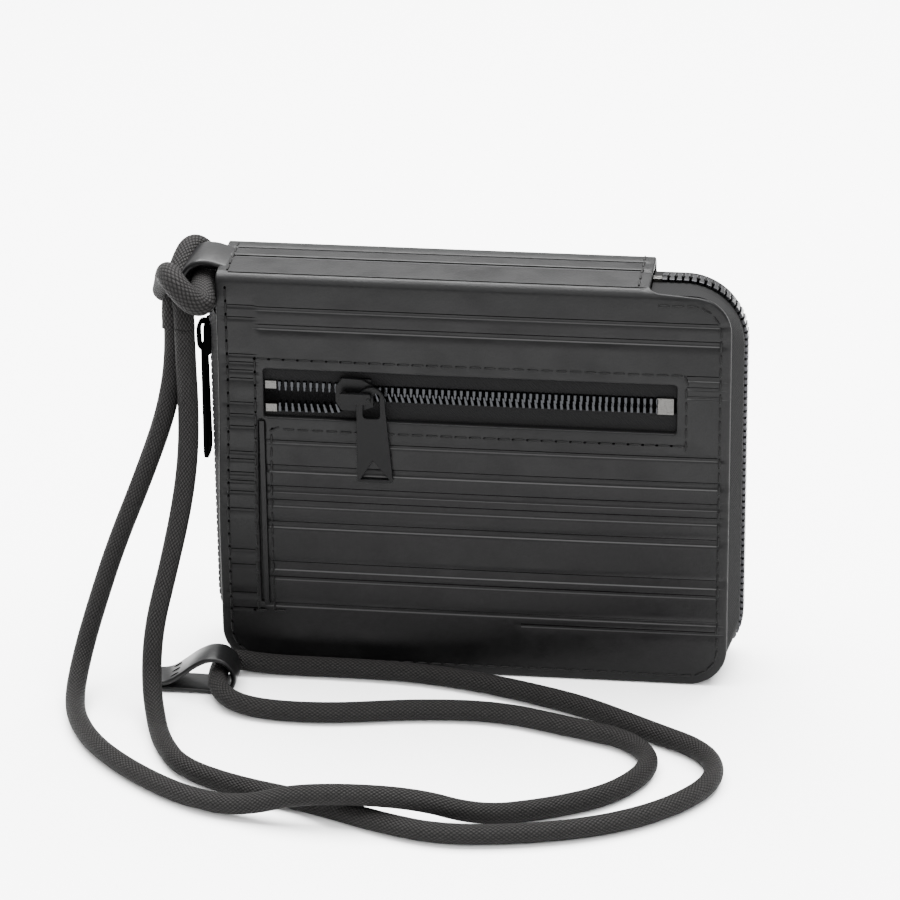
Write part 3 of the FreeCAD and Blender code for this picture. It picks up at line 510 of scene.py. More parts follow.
outline = even_loop(
    arc((PANEL_HALF - CORNER, CORNER), CORNER, -90, 0, 12)
    + arc((PANEL_HALF - CORNER, TOP_EDGE - CORNER), CORNER, 0, 90, 12)
    + arc((SPINE_RIGHT + NOTCH, TOP_EDGE + RISE + NOTCH), NOTCH, 270, 180, 6)
    + arc((SPINE_RIGHT + NOTCH, sheet_length - BACK_EDGE - NOTCH), NOTCH, 180, 90, 6)
    + arc((PANEL_HALF - CORNER, sheet_length - BACK_EDGE + CORNER), CORNER, -90, 0, 12)
    + arc((PANEL_HALF - CORNER, sheet_length - CORNER), CORNER, 0, 90, 12)
    + arc((-PANEL_HALF + CORNER, sheet_length - CORNER), CORNER, 90, 180, 12)
    + arc((-PANEL_HALF + CORNER, CORNER), CORNER, 180, 270, 12),
    OUTLINE_STEP,
)
window_hole = even_loop(rounded_box(*WINDOW, 0.0008), OUTLINE_STEP)
slit_hole = even_loop(rounded_box(*SLIT, 0.0005), OUTLINE_STEP)

row_heights = [k * 0.003 for k in range(1, int(sheet_length / 0.003))]
to_spine = spine_start + COVER_Y - FOLD_RADIUS
troughs = PRESSED_LINES + [
    (sheet_length - high, sheet_length - low, depth, -PANEL_HALF, PANEL_HALF)
    for low, high, depth in BACK_LINES
] + [
    (to_spine + low, to_spine + high, depth, -PANEL_HALF, PANEL_HALF)
    for low, high, depth in SPINE_LINES
]
for low, high, depth, left_end, right_end in troughs:
    row_heights += [edge + LINE_SOFT * k for edge in (low, high) for k in (-1.0, 0.0, 1.0)]
for start in (panel_length, spine_end):
    row_heights += [start + quarter_turn * k / 6 for k in range(7)]
rows = [min(row_heights)]
for height in sorted(row_heights):
    if height - rows[-1] > LINE_ROW_GAP:
        rows.append(height)
columns = sorted([-0.0620 + 0.002 * k for k in range(63)])
grid = np.array([(x, s) for s in rows for x in columns])
loops = [outline, window_hole, slit_hole]
kept = inside(outline, grid) & ~inside(window_hole, grid) & ~inside(slit_hole, grid)
grid = grid[kept]
for loop in loops:
    grid = grid[distance_to(loop, grid) > 0.0011]

points = []
edges = []
edge_distance = []
for loop, sign in ((outline, 1.0), (window_hole, -1.0), (slit_hole, -1.0)):
    for inset in RING_INSETS:
        if loop is slit_hole and inset > 0.0:
            continue
        ring = inset_loop(loop, inset * sign)
        first = len(points)
        points += [Vector(p) for p in ring]
        edge_distance += [EDGE_ROUND if loop is slit_hole else inset] * len(ring)
        if inset == 0.0:
            edges += [(first + k, first + (k + 1) % len(ring)) for k in range(len(ring))]
points += [Vector(p) for p in grid]
edge_distance += [EDGE_ROUND] * len(grid)
cut = delaunay_2d_cdt(points, edges, [], 0, 1e-7, True)
flat = np.array([tuple(v) for v in cut[0]])
origin_of = [source[0] if source else -1 for source in cut[3]]
edge_distance = np.array([edge_distance[k] if k >= 0 else EDGE_ROUND for k in origin_of])
triangles = np.array(cut[2])
middles = flat[triangles].mean(axis=1)
wanted = inside(outline, middles) & ~inside(window_hole, middles) & ~inside(slit_hole, middles)
triangles = triangles[wanted]

across, up = flat[:, 0], flat[:, 1]
sunk = EDGE_ROUND - np.sqrt(np.maximum(EDGE_ROUND ** 2 - (EDGE_ROUND - edge_distance) ** 2, 0.0))
for low, high, depth, left_end, right_end in troughs:
    reach = step_up(across - left_end, LINE_END) * step_up(right_end - across, LINE_END)
    rise = step_up(up - low, 2 * LINE_SOFT)
    fall = step_up(high - up, 2 * LINE_SOFT)
    sunk += depth * reach * rise * rise * (3 - 2 * rise) * fall * fall * (3 - 2 * fall)
front_share = np.clip(1 - np.abs(up / MID_HEIGHT - 1), 0, 1)
back_share = np.clip(1 - np.abs((sheet_length - up) / MID_HEIGHT - 1), 0, 1)
across_share = np.clip(1 - (across / PANEL_HALF) ** 2, 0, 1)
bow = BOW * across_share * (np.sqrt(front_share) + np.sqrt(back_share))
across = across - bulge(across, up)
outer_y, outer_z = cover_profile(up, sunk - bow)
inner_y, inner_z = cover_profile(up, np.full(len(up), LEATHER))
vertices = np.vstack([
    np.column_stack([across, outer_y, outer_z]),
    np.column_stack([across, inner_y, inner_z]),
])

embossed_leather = principled("embossed_leather", (0.0022, 0.0022, 0.0023), 0.40, gloss=0.10)
hide_place = node(embossed_leather, "ShaderNodeTexCoord").outputs["Object"]
hide_grain = node(embossed_leather, "ShaderNodeTexVoronoi", Vector=hide_place, Scale=1500.0)
hide_cloud = node(embossed_leather, "ShaderNodeTexNoise", Vector=hide_place, Scale=120.0, Detail=5.0)
hide_fine = node(embossed_leather, "ShaderNodeBump", Height=hide_grain.outputs["Distance"], Strength=0.12,
                 Distance=0.0002)
hide_bump = node(embossed_leather, "ShaderNodeBump", Height=hide_cloud.outputs["Fac"], Strength=0.2,
                 Distance=0.0006, Normal=hide_fine.outputs[0])
hide_tones = [(0.3, (0.30, 0.30, 0.30)), (0.75, (0.52, 0.52, 0.52))]
shade(embossed_leather, Normal=hide_bump.outputs[0],
      Roughness=color_ramp(embossed_leather, hide_cloud.outputs["Fac"], hide_tones))
edge_paint = principled("edge_paint", (0.0030, 0.0030, 0.0031), 0.55, gloss=0.06)
# A lighter, glossier copy of the leather: painted highlight along the lower lip of each pressed line on the
# front.
line_painted_highlight = principled("line_painted_highlight", (0.0040, 0.0040, 0.0041), 0.34, gloss=0.26)
# A near-black matt copy of the leather: painted shade along the upper lip of each pressed line on the front.
line_painted_shade = principled("line_painted_shade", (0.0006, 0.0006, 0.0006), 0.8, gloss=0.0)
# Slot per triangle: 1 is the real painted edge, 2 the painted highlight and 3 the painted shade of the
# pressed lines.
material_pick = (edge_distance[triangles] < 0.6 * EDGE_ROUND).all(axis=1) * 1
centre_x = across[triangles].mean(axis=1)
corner_s = up[triangles]
for low, high, depth, left_end, right_end in troughs:
    crossed = (centre_x > left_end) & (centre_x < right_end) & (material_pick == 0)
    if right_end > 0:
        material_pick[crossed & (np.abs(corner_s - low) < 1.1 * LINE_SOFT).all(axis=1)] = 2
    material_pick[crossed & (np.abs(corner_s - high) < 1.1 * LINE_SOFT).all(axis=1)] = 3


def cover_part(name, chosen):
    """The chosen triangles of the sheet as a closed piece, with its outer face, inner face and edges."""
    skin = triangles[chosen]
    open_edges = rim_edges(skin)
    total = len(flat)
    faces = [tuple(tri) for tri in skin] + [tuple(tri[::-1] + total) for tri in skin]
    faces += [(two, one, one + total, two + total) for one, two in open_edges]
    used = sorted({k for face in faces for k in face})
    place_of = {k: number for number, k in enumerate(used)}
    part = new_object(name, vertices[used], [[place_of[k] for k in face] for face in faces], embossed_leather)
    # Extra slots: the painted edge, then the painted highlight and the painted shade of the pressed lines.
    for edge_paint_and_painted_light in (edge_paint, line_painted_highlight, line_painted_shade):
        part.data.materials.append(edge_paint_and_painted_light)
    slots = np.concatenate([material_pick[chosen], np.zeros(len(skin), int), np.ones(len(open_edges), int)])
    part.data.polygons.foreach_set("material_index", slots.astype(np.int32))
    return part


# The sheet is cut in two along the middle of the spine; the front piece goes with the front half.
# On the wallet itself only the rear fold bends.
in_front = corner_s.mean(axis=1) < to_spine
front_leather = cover_part("cover_front_leather", in_front)
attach(front_leather, "front_half")
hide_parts("front_cover")
back_leather = cover_part("cover_back_leather", ~in_front)
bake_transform(back_leather)
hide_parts("back_cover")


# ---- Linings, boards, bag and tapes ----
# Thin black leather lines both halves; its card slots and slip pocket are plain sheets with cut edges.
# The pocket's bag is black twill, and the zip tapes are ribbed black polyester.
def woven(name, color, scale):
    """Ribbed cloth: fine ribs across two directions, with a little sheen."""
    cloth = principled(name, color, 0.85)
    place = node(cloth, "ShaderNodeTexCoord").outputs["Object"]
    ribs = node(cloth, "ShaderNodeTexWave", Vector=place, Scale=scale, Distortion=0.6)
    ribs.bands_direction = "DIAGONAL"
    bump = node(cloth, "ShaderNodeBump", Height=ribs.outputs["Fac"], Strength=0.2, Distance=0.0002)
    shade(cloth, Normal=bump.outputs[0])
    return cloth


def paint(material, *names):
    """Gives CAD nodes a material."""
    for name in names:
        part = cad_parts[name]
        part.data.materials.clear()
        part.data.materials.append(material)


def round_edges(shape, width, segments, degrees):
    """Rounds the shape's edges that are sharper than the angle."""
    rounding = shape.modifiers.new("edges", "BEVEL")
    rounding.width = width
    rounding.segments = segments
    rounding.limit_method = "ANGLE"
    rounding.angle_limit = math.radians(degrees)


def soften(width, *names):
    """Rounds the CAD nodes' sharp edges by the width."""
    for name in names:
        round_edges(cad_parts[name], width, 3, 35)


def noise_bump(material, scale, detail, strength, distance):
    """Gives a material a finely uneven surface."""
    place = node(material, "ShaderNodeTexCoord").outputs["Object"]
    noise = node(material, "ShaderNodeTexNoise", Vector=place, Scale=scale, Detail=detail)
    bump = node(material, "ShaderNodeBump", Height=noise.outputs["Fac"], Strength=strength, Distance=distance)
    shade(material, Normal=bump.outputs[0])


smooth_leather = principled("smooth_leather", (0.003, 0.003, 0.0031), 0.34, gloss=0.14)
noise_bump(smooth_leather, 700.0, 3.0, 0.12, 0.0003)
lining_leather = principled("lining_leather", (0.004, 0.004, 0.0042), 0.55)
noise_bump(lining_leather, 1100.0, 3.0, 0.25, 0.0003)
stiff_board = principled("board", (0.01, 0.01, 0.01), 0.7)
bag_cloth = woven("bag_cloth", (0.004, 0.004, 0.0042), 900.0)
zip_tape = woven("zip_tape", (0.0035, 0.0035, 0.0036), 700.0)

paint(lining_leather, "front_lining", "back_lining", "slip_pocket")
paint(lining_leather, "card_slot_1", "card_slot_2", "card_slot_3", "card_slot_4")
paint(stiff_board, "front_board", "back_board", "spine_board")
paint(bag_cloth, "pocket_bag")
paint(zip_tape, "pocket_tape_upper", "pocket_tape_lower", "main_tape_front", "main_tape_back")
paint(embossed_leather, "pocket_welt")
soften(0.0004, "pocket_welt")


# ---- Zip teeth ----
# Both zips have separate metal teeth clamped to their tapes, each with a rounded head.
# The two rows of a closed stretch interleave by half a pitch.
POCKET_PITCH = 0.0016
MAIN_PITCH = 0.0018


def repeat_tree(name):
    """Geometry nodes that set copies of a unit along a path, with its X along it and its Z the given way."""
    tree = bpy.data.node_groups.new(name, "GeometryNodeTree")
    face = tree.interface
    face.new_socket("Path", in_out="INPUT", socket_type="NodeSocketGeometry")
    face.new_socket("Unit", in_out="INPUT", socket_type="NodeSocketObject")
    face.new_socket("Pitch", in_out="INPUT", socket_type="NodeSocketFloat")
    face.new_socket("Way", in_out="INPUT", socket_type="NodeSocketVector")
    face.new_socket("Finish", in_out="INPUT", socket_type="NodeSocketMaterial")
    face.new_socket("Made", in_out="OUTPUT", socket_type="NodeSocketGeometry")
    entry = tree.nodes.new("NodeGroupInput")
    leave = tree.nodes.new("NodeGroupOutput")
    as_curve = tree.nodes.new("GeometryNodeMeshToCurve")
    spots = tree.nodes.new("GeometryNodeCurveToPoints")
    spots.mode = "LENGTH"
    unit = tree.nodes.new("GeometryNodeObjectInfo")
    unit.transform_space = "ORIGINAL"
    along = tree.nodes.new("FunctionNodeAlignRotationToVector")
    along.axis = "X"
    upright = tree.nodes.new("FunctionNodeAlignRotationToVector")
    upright.axis = "Z"
    upright.pivot_axis = "X"
    copies = tree.nodes.new("GeometryNodeInstanceOnPoints")
    solid = tree.nodes.new("GeometryNodeRealizeInstances")
    material_pick = tree.nodes.new("GeometryNodeSetMaterial")
    for source, target in (
        (entry.outputs["Path"], as_curve.inputs["Mesh"]),
        (as_curve.outputs["Curve"], spots.inputs["Curve"]),
        (entry.outputs["Pitch"], spots.inputs["Length"]),
        (spots.outputs["Points"], copies.inputs["Points"]),
        (spots.outputs["Tangent"], along.inputs["Vector"]),
        (along.outputs["Rotation"], upright.inputs["Rotation"]),
        (entry.outputs["Way"], upright.inputs["Vector"]),
        (upright.outputs["Rotation"], copies.inputs["Rotation"]),
        (entry.outputs["Unit"], unit.inputs["Object"]),
        (unit.outputs["Geometry"], copies.inputs["Instance"]),
        (copies.outputs["Instances"], solid.inputs["Geometry"]),
        (solid.outputs["Geometry"], material_pick.inputs["Geometry"]),
        (entry.outputs["Finish"], material_pick.inputs["Material"]),
        (material_pick.outputs["Geometry"], leave.inputs["Made"]),
    ):
        tree.links.new(source, target)
    return tree


repeat_nodes = repeat_tree("repeat_along")


def repeated(name, path, unit, pitch, way, material, smooth=False):
    """Copies of the unit mesh along a polyline of points, as one plain mesh object."""
    line = bpy.data.meshes.new(name + "_path")
    line.from_pydata([tuple(p) for p in path], [(k, k + 1) for k in range(len(path) - 1)], [])
    holder = bpy.data.objects.new(name, line)
    bpy.context.scene.collection.objects.link(holder)
    source = bpy.data.objects.new(name + "_unit", unit)
    bpy.context.scene.collection.objects.link(source)
    modifier = holder.modifiers.new("repeat", "NODES")
    modifier.node_group = repeat_nodes
    values = {"Unit": source, "Pitch": pitch, "Way": Vector(way), "Finish": material}
    for item in repeat_nodes.interface.items_tree:
        if item.name in values:
            modifier[item.identifier] = values[item.name]
    bpy.context.view_layer.update()
    seen = holder.evaluated_get(bpy.context.evaluated_depsgraph_get())
    mesh = bpy.data.meshes.new_from_object(seen)
    holder.modifiers.remove(modifier)
    holder.data = mesh
    bpy.data.objects.remove(source)
    bpy.data.meshes.remove(line)
    mesh.polygons.foreach_set("use_smooth", [smooth] * len(mesh.polygons))
    mesh.materials.clear()
    mesh.materials.append(material)
    return holder


def rounded_mesh(shape, width, segments, degrees):
    """The shape's mesh with its edges rounded; the shape itself is removed."""
    round_edges(shape, width, segments, degrees)
    bpy.context.view_layer.update()
    mesh = bpy.data.meshes.new_from_object(shape.evaluated_get(bpy.context.evaluated_depsgraph_get()))
    bpy.data.objects.remove(shape)
    return mesh


def bevelled_prism(name, outline_xz, y_low, y_high, round_edge):
    """A mesh of an (x, z) outline extruded along y, with its edges rounded."""
    count = len(outline_xz)
    vertices = [(px, y_low, pz) for px, pz in outline_xz] + [(px, y_high, pz) for px, pz in outline_xz]
    faces = [tuple(range(count)), tuple(reversed(range(count, 2 * count)))]
    faces += [(k, k + count, (k + 1) % count + count, (k + 1) % count) for k in range(count)]
    shape = new_object(name, vertices, faces, zip_tape, smooth=False)
    return rounded_mesh(shape, round_edge, 2, 35)


def tooth(name, width, reach, head, thickness):
    """One tooth: a clamped foot, a narrower neck and a round head past the chain's centre line."""
    neck = width * 0.36
    foot = width * 0.5
    outline_xz = [(-foot, reach), (-foot, 0.35 * reach), (-neck, 0.2 * reach), (-neck, -0.4 * head)]
    outline_xz += [(-neck * 0.7, -head), (neck * 0.7, -head), (neck, -0.4 * head)]
    outline_xz += [(neck, 0.2 * reach), (foot, 0.35 * reach), (foot, reach)]
    return bevelled_prism(name, outline_xz, -thickness / 2, thickness / 2, 0.00014)


zip_teeth = principled("zip_teeth", (0.020, 0.0205, 0.022), 0.22, 1.0)
zip_stops = principled("zip_stops", (0.052, 0.051, 0.049), 0.30, 1.0)
noise_bump(zip_stops, 1100.0, 2.0, 0.5, 0.0005)
pocket_tooth = tooth("pocket_tooth", 0.00072, 0.0021, 0.0005, 0.0020)
low_x, low_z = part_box("pocket_teeth_lower")[0].x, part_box("pocket_teeth_lower")[0].z
high_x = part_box("pocket_teeth_upper")[1].x
CHAIN_Z = 0.0784
CHAIN_Y = -0.0105
upper_path = [(low_x + 0.0008, CHAIN_Y, CHAIN_Z + 0.0005), (-0.0352, CHAIN_Y, CHAIN_Z + 0.0005),
              (-0.0300, CHAIN_Y, CHAIN_Z), (high_x, CHAIN_Y, CHAIN_Z)]
lower_path = [(low_x + 0.0010, CHAIN_Y, low_z + 0.0021), (-0.0352, CHAIN_Y, low_z + 0.0021),
              (-0.0305, CHAIN_Y, CHAIN_Z), (high_x, CHAIN_Y, CHAIN_Z)]
bend = math.dist(lower_path[1], lower_path[2]) - math.dist(upper_path[1], upper_path[2])
slack = (bend + lower_path[1][0] - lower_path[0][0] - upper_path[1][0] + upper_path[0][0]) % POCKET_PITCH
lower_path[0] = (lower_path[0][0] + slack - POCKET_PITCH / 2, *lower_path[0][1:])
upper_teeth = repeated("pocket_teeth_top", upper_path, pocket_tooth, POCKET_PITCH, (0, 0, 1), zip_teeth)
lower_teeth = repeated("pocket_teeth_low", lower_path, pocket_tooth, POCKET_PITCH, (0, 0, -1), zip_teeth)
for teeth, cad_node in ((upper_teeth, "pocket_teeth_upper"), (lower_teeth, "pocket_teeth_lower")):
    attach(teeth, "front_half")
    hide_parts(cad_node)
paint(zip_stops, "pocket_top_stops", "pocket_box_stop", "main_top_stop_front", "main_top_stop_back",
      "main_bottom_stop")
soften(0.0007, "pocket_top_stops", "pocket_box_stop", "main_top_stop_front", "main_top_stop_back",
       "main_bottom_stop")

# The main chain runs round three sides, from its top stops down the left, along the foot and up the right.
chain_low, chain_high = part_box("main_teeth_front")
CHAIN_CORNER = 0.015
side_x = chain_high.x - 0.0012
foot_z = chain_low.z + 0.0012
head_z = chain_high.z - 0.0012
main_tooth = tooth("main_tooth", 0.0013, 0.0021, 0.0005, 0.0024)
main_teeth_finish = principled("main_teeth", (0.030, 0.030, 0.032), 0.28, 1.0)
chain_corners = (
    arc((-side_x + CHAIN_CORNER, foot_z + CHAIN_CORNER), CHAIN_CORNER, 180, 270, 24)
    + arc((side_x - CHAIN_CORNER, foot_z + CHAIN_CORNER), CHAIN_CORNER, 270, 360, 24)
    + arc((side_x - CHAIN_CORNER, head_z - CHAIN_CORNER), CHAIN_CORNER, 0, 90, 24)
)
chain_path = [(-side_x, 0.0, 0.0950)] + [(px, 0.0, pz) for px, pz in chain_corners] + [(0.0474, 0.0, head_z)]
for side, body, cad_node, shift in (
    (-1, "front_half", "main_teeth_front", 0.0),
    (1, "back_half", "main_teeth_back", 0.5),
):
    start = (chain_path[0][0], 0.0, chain_path[0][2] - shift * MAIN_PITCH)
    row = repeated("main_teeth_" + body, [start] + chain_path[1:], main_tooth, MAIN_PITCH, (0, side, 0),
                   main_teeth_finish)
    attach(row, body)
    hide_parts(cad_node)


# ---- Sliders and pullers ----
# Cast metal sliders and flat pullers in matt black paint, duller on the main zip.
# The pullers' edges are rounded by tumbling, and the pocket's slider has a flange on its upper side only.
slider_paint = principled("slider_paint", (0.0016, 0.0016, 0.0017), 0.40, gloss=0.07)
noise_bump(slider_paint, 1500.0, 2.0, 0.1, 0.0002)
worn_paint = principled("worn_paint", (0.0016, 0.0016, 0.0017), 0.7, gloss=0.0)


def plate(name, outline_xz, holes, y_low, y_high, round_edge):
    """A flat plate with holes, its outline in x and z, with rounded edges."""
    spots = []
    rims = []
    for loop in [outline_xz] + holes:
        first = len(spots)
        spots += [Vector(p) for p in loop]
        rims += [(first + k, first + (k + 1) % len(loop)) for k in range(len(loop))]
    mesh_parts = delaunay_2d_cdt(spots, rims, [], 0, 1e-7, False)
    flat_spots = np.array([tuple(v) for v in mesh_parts[0]])
    thirds = np.array(mesh_parts[2])
    centres = flat_spots[thirds].mean(axis=1)
    solid = inside(outline_xz, centres)
    for hole_loop in holes:
        solid &= ~inside(hole_loop, centres)
    thirds = thirds[solid]
    total = len(flat_spots)
    corners = [(px, y_low, pz) for px, pz in flat_spots] + [(px, y_high, pz) for px, pz in flat_spots]
    skins = [tuple(tri) for tri in thirds] + [tuple(tri[::-1] + total) for tri in thirds]
    skins += [(two, one, one + total, two + total) for one, two in rim_edges(thirds)]
    shape = new_object(name, corners, skins, slider_paint, smooth=False)
    return rounded_mesh(shape, round_edge, 3, 50)


def strip(name, profile, low_y, high_y, thickness, material):
    """A flat strip that follows a profile in x and z, y from low to high, with rounded edges."""
    tangents = np.gradient(profile, axis=0)
    tangents /= np.linalg.norm(tangents, axis=1)[:, None]
    section = []
    round_edge = thickness * 0.42
    half = thickness / 2
    for cy, cz, first in (
        (high_y - round_edge, half - round_edge, 90),
        (high_y - round_edge, -half + round_edge, 0),
        (low_y + round_edge, -half + round_edge, -90),
        (low_y + round_edge, half - round_edge, 180),
    ):
        section += arc((cy, cz), round_edge, first, first - 90, 5)
    section += [(y, half) for y in np.linspace(low_y + round_edge, high_y - round_edge, 10)[1:-1]]
    section = np.array(section)
    rings = []
    for place, tangent in zip(profile, tangents):
        out = np.array((-tangent[2], 0.0, tangent[0]))
        rings.append(np.column_stack([
            place[0] + out[0] * section[:, 1], section[:, 0], place[2] + out[2] * section[:, 1],
        ]))
    vertices = np.vstack(rings)
    sides = len(section)
    faces = []
    for i in range(len(profile) - 1):
        for j in range(sides):
            k = (j + 1) % sides
            faces.append((i * sides + j, i * sides + k, (i + 1) * sides + k, (i + 1) * sides + j))
    faces.append(tuple(reversed(range(sides))))
    faces.append(tuple((len(profile) - 1) * sides + j for j in range(sides)))
    return new_object(name, vertices, faces, material)


def joined(name, meshes, material, quarter_turn=False):
    """Several meshes as one object; a quarter turn about Z lays plates that face Y on the left side."""
    corners = []
    skins = []
    for mesh in meshes:
        first = len(corners)
        corners += [(v.co.y, -v.co.x, v.co.z) if quarter_turn else tuple(v.co) for v in mesh.vertices]
        skins += [tuple(first + k for k in face.vertices) for face in mesh.polygons]
    return new_object(name, corners, skins, material, smooth=False)


slider_low, slider_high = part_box("pocket_slider")
left_x, mid_z = slider_low.x, CHAIN_Z
body_corners = [
    (left_x, mid_z - 0.0018), (left_x + 0.0014, mid_z - 0.0042), (left_x + 0.0066, mid_z - 0.0042),
    (left_x + 0.0096, mid_z - 0.0030), (left_x + 0.0096, mid_z + 0.0028), (left_x + 0.0066, mid_z + 0.0044),
    (left_x + 0.0018, mid_z + 0.0046), (left_x, mid_z + 0.0022),
]
body_outline = even_loop(body_corners, 0.002)
bar_outline = rounded_box(left_x + 0.0013, left_x + 0.0092, mid_z - 0.0014, mid_z + 0.0014, 0.0004)
leg_left = rounded_box(left_x + 0.0015, left_x + 0.0027, mid_z - 0.0011, mid_z + 0.0011, 0.0003)
leg_right = rounded_box(left_x + 0.0075, left_x + 0.0085, mid_z - 0.0006, mid_z + 0.0006, 0.0003)
flange_high = rounded_box(left_x + 0.0010, left_x + 0.0090, mid_z + 0.0033, mid_z + 0.0042, 0.0003)
pin = [(left_x + 0.0086 + 0.0005 * math.cos(k), mid_z - 0.0001 + 0.0005 * math.sin(k)) for k in
       np.linspace(0, 2 * math.pi, 12, endpoint=False)]
front_plane = slider_low.y
slider_meshes = [
    plate("slider_front", body_outline, [], front_plane + 0.0024, front_plane + 0.0034, 0.00035),
    plate("slider_back", body_outline, [], slider_high.y - 0.0009, slider_high.y, 0.0003),
    plate("slider_bar", bar_outline, [], front_plane, front_plane + 0.0010, 0.0003),
    plate("slider_leg_left", leg_left, [], front_plane + 0.0006, front_plane + 0.0028, 0.0001),
    plate("slider_leg_right", leg_right, [], front_plane + 0.0006, front_plane + 0.0028, 0.0001),
    plate("slider_flange_high", flange_high, [], front_plane + 0.0032, front_plane + 0.0042, 0.0001),
    plate("slider_pin", pin, [], front_plane - 0.0002, front_plane + 0.0004, 0.0001),
]
pocket_slider = joined("pocket_slider_body", slider_meshes, slider_paint)
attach(pocket_slider, "pocket_slider_body")
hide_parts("pocket_slider")

# The pocket's puller hangs a little to the right of the leg in its window.
puller_low, puller_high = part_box("pocket_puller")
foot_z = puller_low.z + 0.0006
hang_x = left_x + 0.0080
puller_outline = (
    arc((hang_x - 0.0022, foot_z + 0.0006), 0.0006, 180, 270, 4)
    + arc((hang_x + 0.0058, foot_z + 0.0007), 0.0006, 270, 360, 4)
    + [(hang_x + 0.0047, mid_z - 0.0024)] + arc((hang_x + 0.0013, mid_z - 0.0005), 0.0033, 5, 175, 16)
    + [(hang_x - 0.0026, mid_z - 0.0024)]
)
puller_window = rounded_box(hang_x - 0.0010, hang_x + 0.0034, mid_z - 0.0058, mid_z + 0.0012, 0.0010)
puller_triangle = [
    (hang_x - 0.0019, foot_z + 0.0009), (hang_x + 0.0055, foot_z + 0.0010),
    (hang_x + 0.0014, foot_z + 0.0062),
]
puller_holes = [puller_window, puller_triangle]
puller_mesh = plate("puller_plate", puller_outline, puller_holes, puller_low.y, puller_high.y, 0.00022)
pocket_puller = joined("pocket_puller_plate", [puller_mesh], slider_paint)
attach(pocket_puller, "pocket_puller_body")
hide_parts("pocket_puller")

# The main slider stands on the left side with an arch on its outer plate, and its puller hangs from the arch.
main_low, main_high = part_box("main_slider")
slab = rounded_box(main_low.y, main_high.y, main_low.z, main_high.z, 0.0024)
slab_meshes = [plate("main_outer_plate", slab, [], main_low.x + 0.0022, main_low.x + 0.0032, 0.0003),
               plate("main_inner_plate", slab, [], main_high.x - 0.0009, main_high.x, 0.0003)]
for side in (-1, 1):
    flange_edges = sorted((side * main_high.y, side * (main_high.y - 0.0009)))
    flange = rounded_box(*flange_edges, main_low.z + 0.0012, main_high.z - 0.0012, 0.0003)
    slab_meshes.append(plate("main_flange", flange, [], main_low.x + 0.0030, main_low.x + 0.0040, 0.0001))
main_slabs = joined("main_slider_plates", slab_meshes, worn_paint, quarter_turn=True)
ARCH_PROFILE = [
    (main_low.x + 0.0030, 0, main_high.z - 0.0010), (main_low.x + 0.0016, 0, main_high.z - 0.0002),
    (main_low.x + 0.0004, 0, main_high.z - 0.0016), (main_low.x + 0.0003, 0, main_low.z + 0.0050),
    (main_low.x + 0.0005, 0, main_low.z + 0.0010), (main_low.x + 0.0030, 0, main_low.z + 0.0012),
]
arch_line = spline_line("arch_profile", ARCH_PROFILE, 0.0003)[0]
main_arch = strip("main_slider_arch", arch_line, -0.0013, 0.0013, 0.0010, worn_paint)
for piece in (main_slabs, main_arch):
    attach(piece, "main_slider_body")
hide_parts("main_slider")

hang_low, hang_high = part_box("main_puller")
narrow = 0.0030
wide = 0.0044
hang_outline = (
    arc((-wide + 0.0030, hang_low.z + 0.0030), 0.0030, 180, 270, 7)
    + arc((wide - 0.0030, hang_low.z + 0.0030), 0.0030, 270, 360, 7)
    + arc((narrow - 0.0012, hang_high.z - 0.0012), 0.0012, 0, 90, 5)
    + arc((-narrow + 0.0012, hang_high.z - 0.0012), 0.0012, 90, 180, 5)
)
hang_window = rounded_box(-0.0017, 0.0017, hang_high.z - 0.0077, hang_high.z - 0.0008, 0.0005)
hang_triangle = [(-0.0030, hang_low.z + 0.0014), (0.0030, hang_low.z + 0.0014), (0.0, hang_low.z + 0.0062)]
hang_holes = [hang_window, hang_triangle]
hang_mesh = plate("main_puller_shape", hang_outline, hang_holes, hang_low.x, hang_high.x, 0.00025)
main_puller = joined("main_puller_plate", [hang_mesh], worn_paint, quarter_turn=True)
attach(main_puller, "main_puller_body")
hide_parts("main_puller")


# ---- Tab ----
# A strip of smooth leather folded into an eye at the spine's left end and sewn in under the cover.
# Its cut edges are thick, and the cord is hitched through the eye.
STRIP_STEP = 0.0006
TAB_HALF_WIDTH = 0.0065
TAB_THICKNESS = 0.0018
TAB_PROFILE = [
    (-0.0600, 0, 0.1080), (-0.0640, 0, 0.1094), (-0.0680, 0, 0.1106),
    (-0.0718, 0, 0.1099), (-0.0744, 0, 0.1066), (-0.0744, 0, 0.1018),
    (-0.0718, 0, 0.0988), (-0.0680, 0, 0.0982), (-0.0650, 0, 0.0994),
    (-0.0612, 0, 0.1000),
]
tab_line = spline_line("tab_profile", TAB_PROFILE, STRIP_STEP)[0]
tab = strip("tab", tab_line, -TAB_HALF_WIDTH, TAB_HALF_WIDTH, TAB_THICKNESS, smooth_leather)
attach(tab, "front_half")
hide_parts("tab_loop")


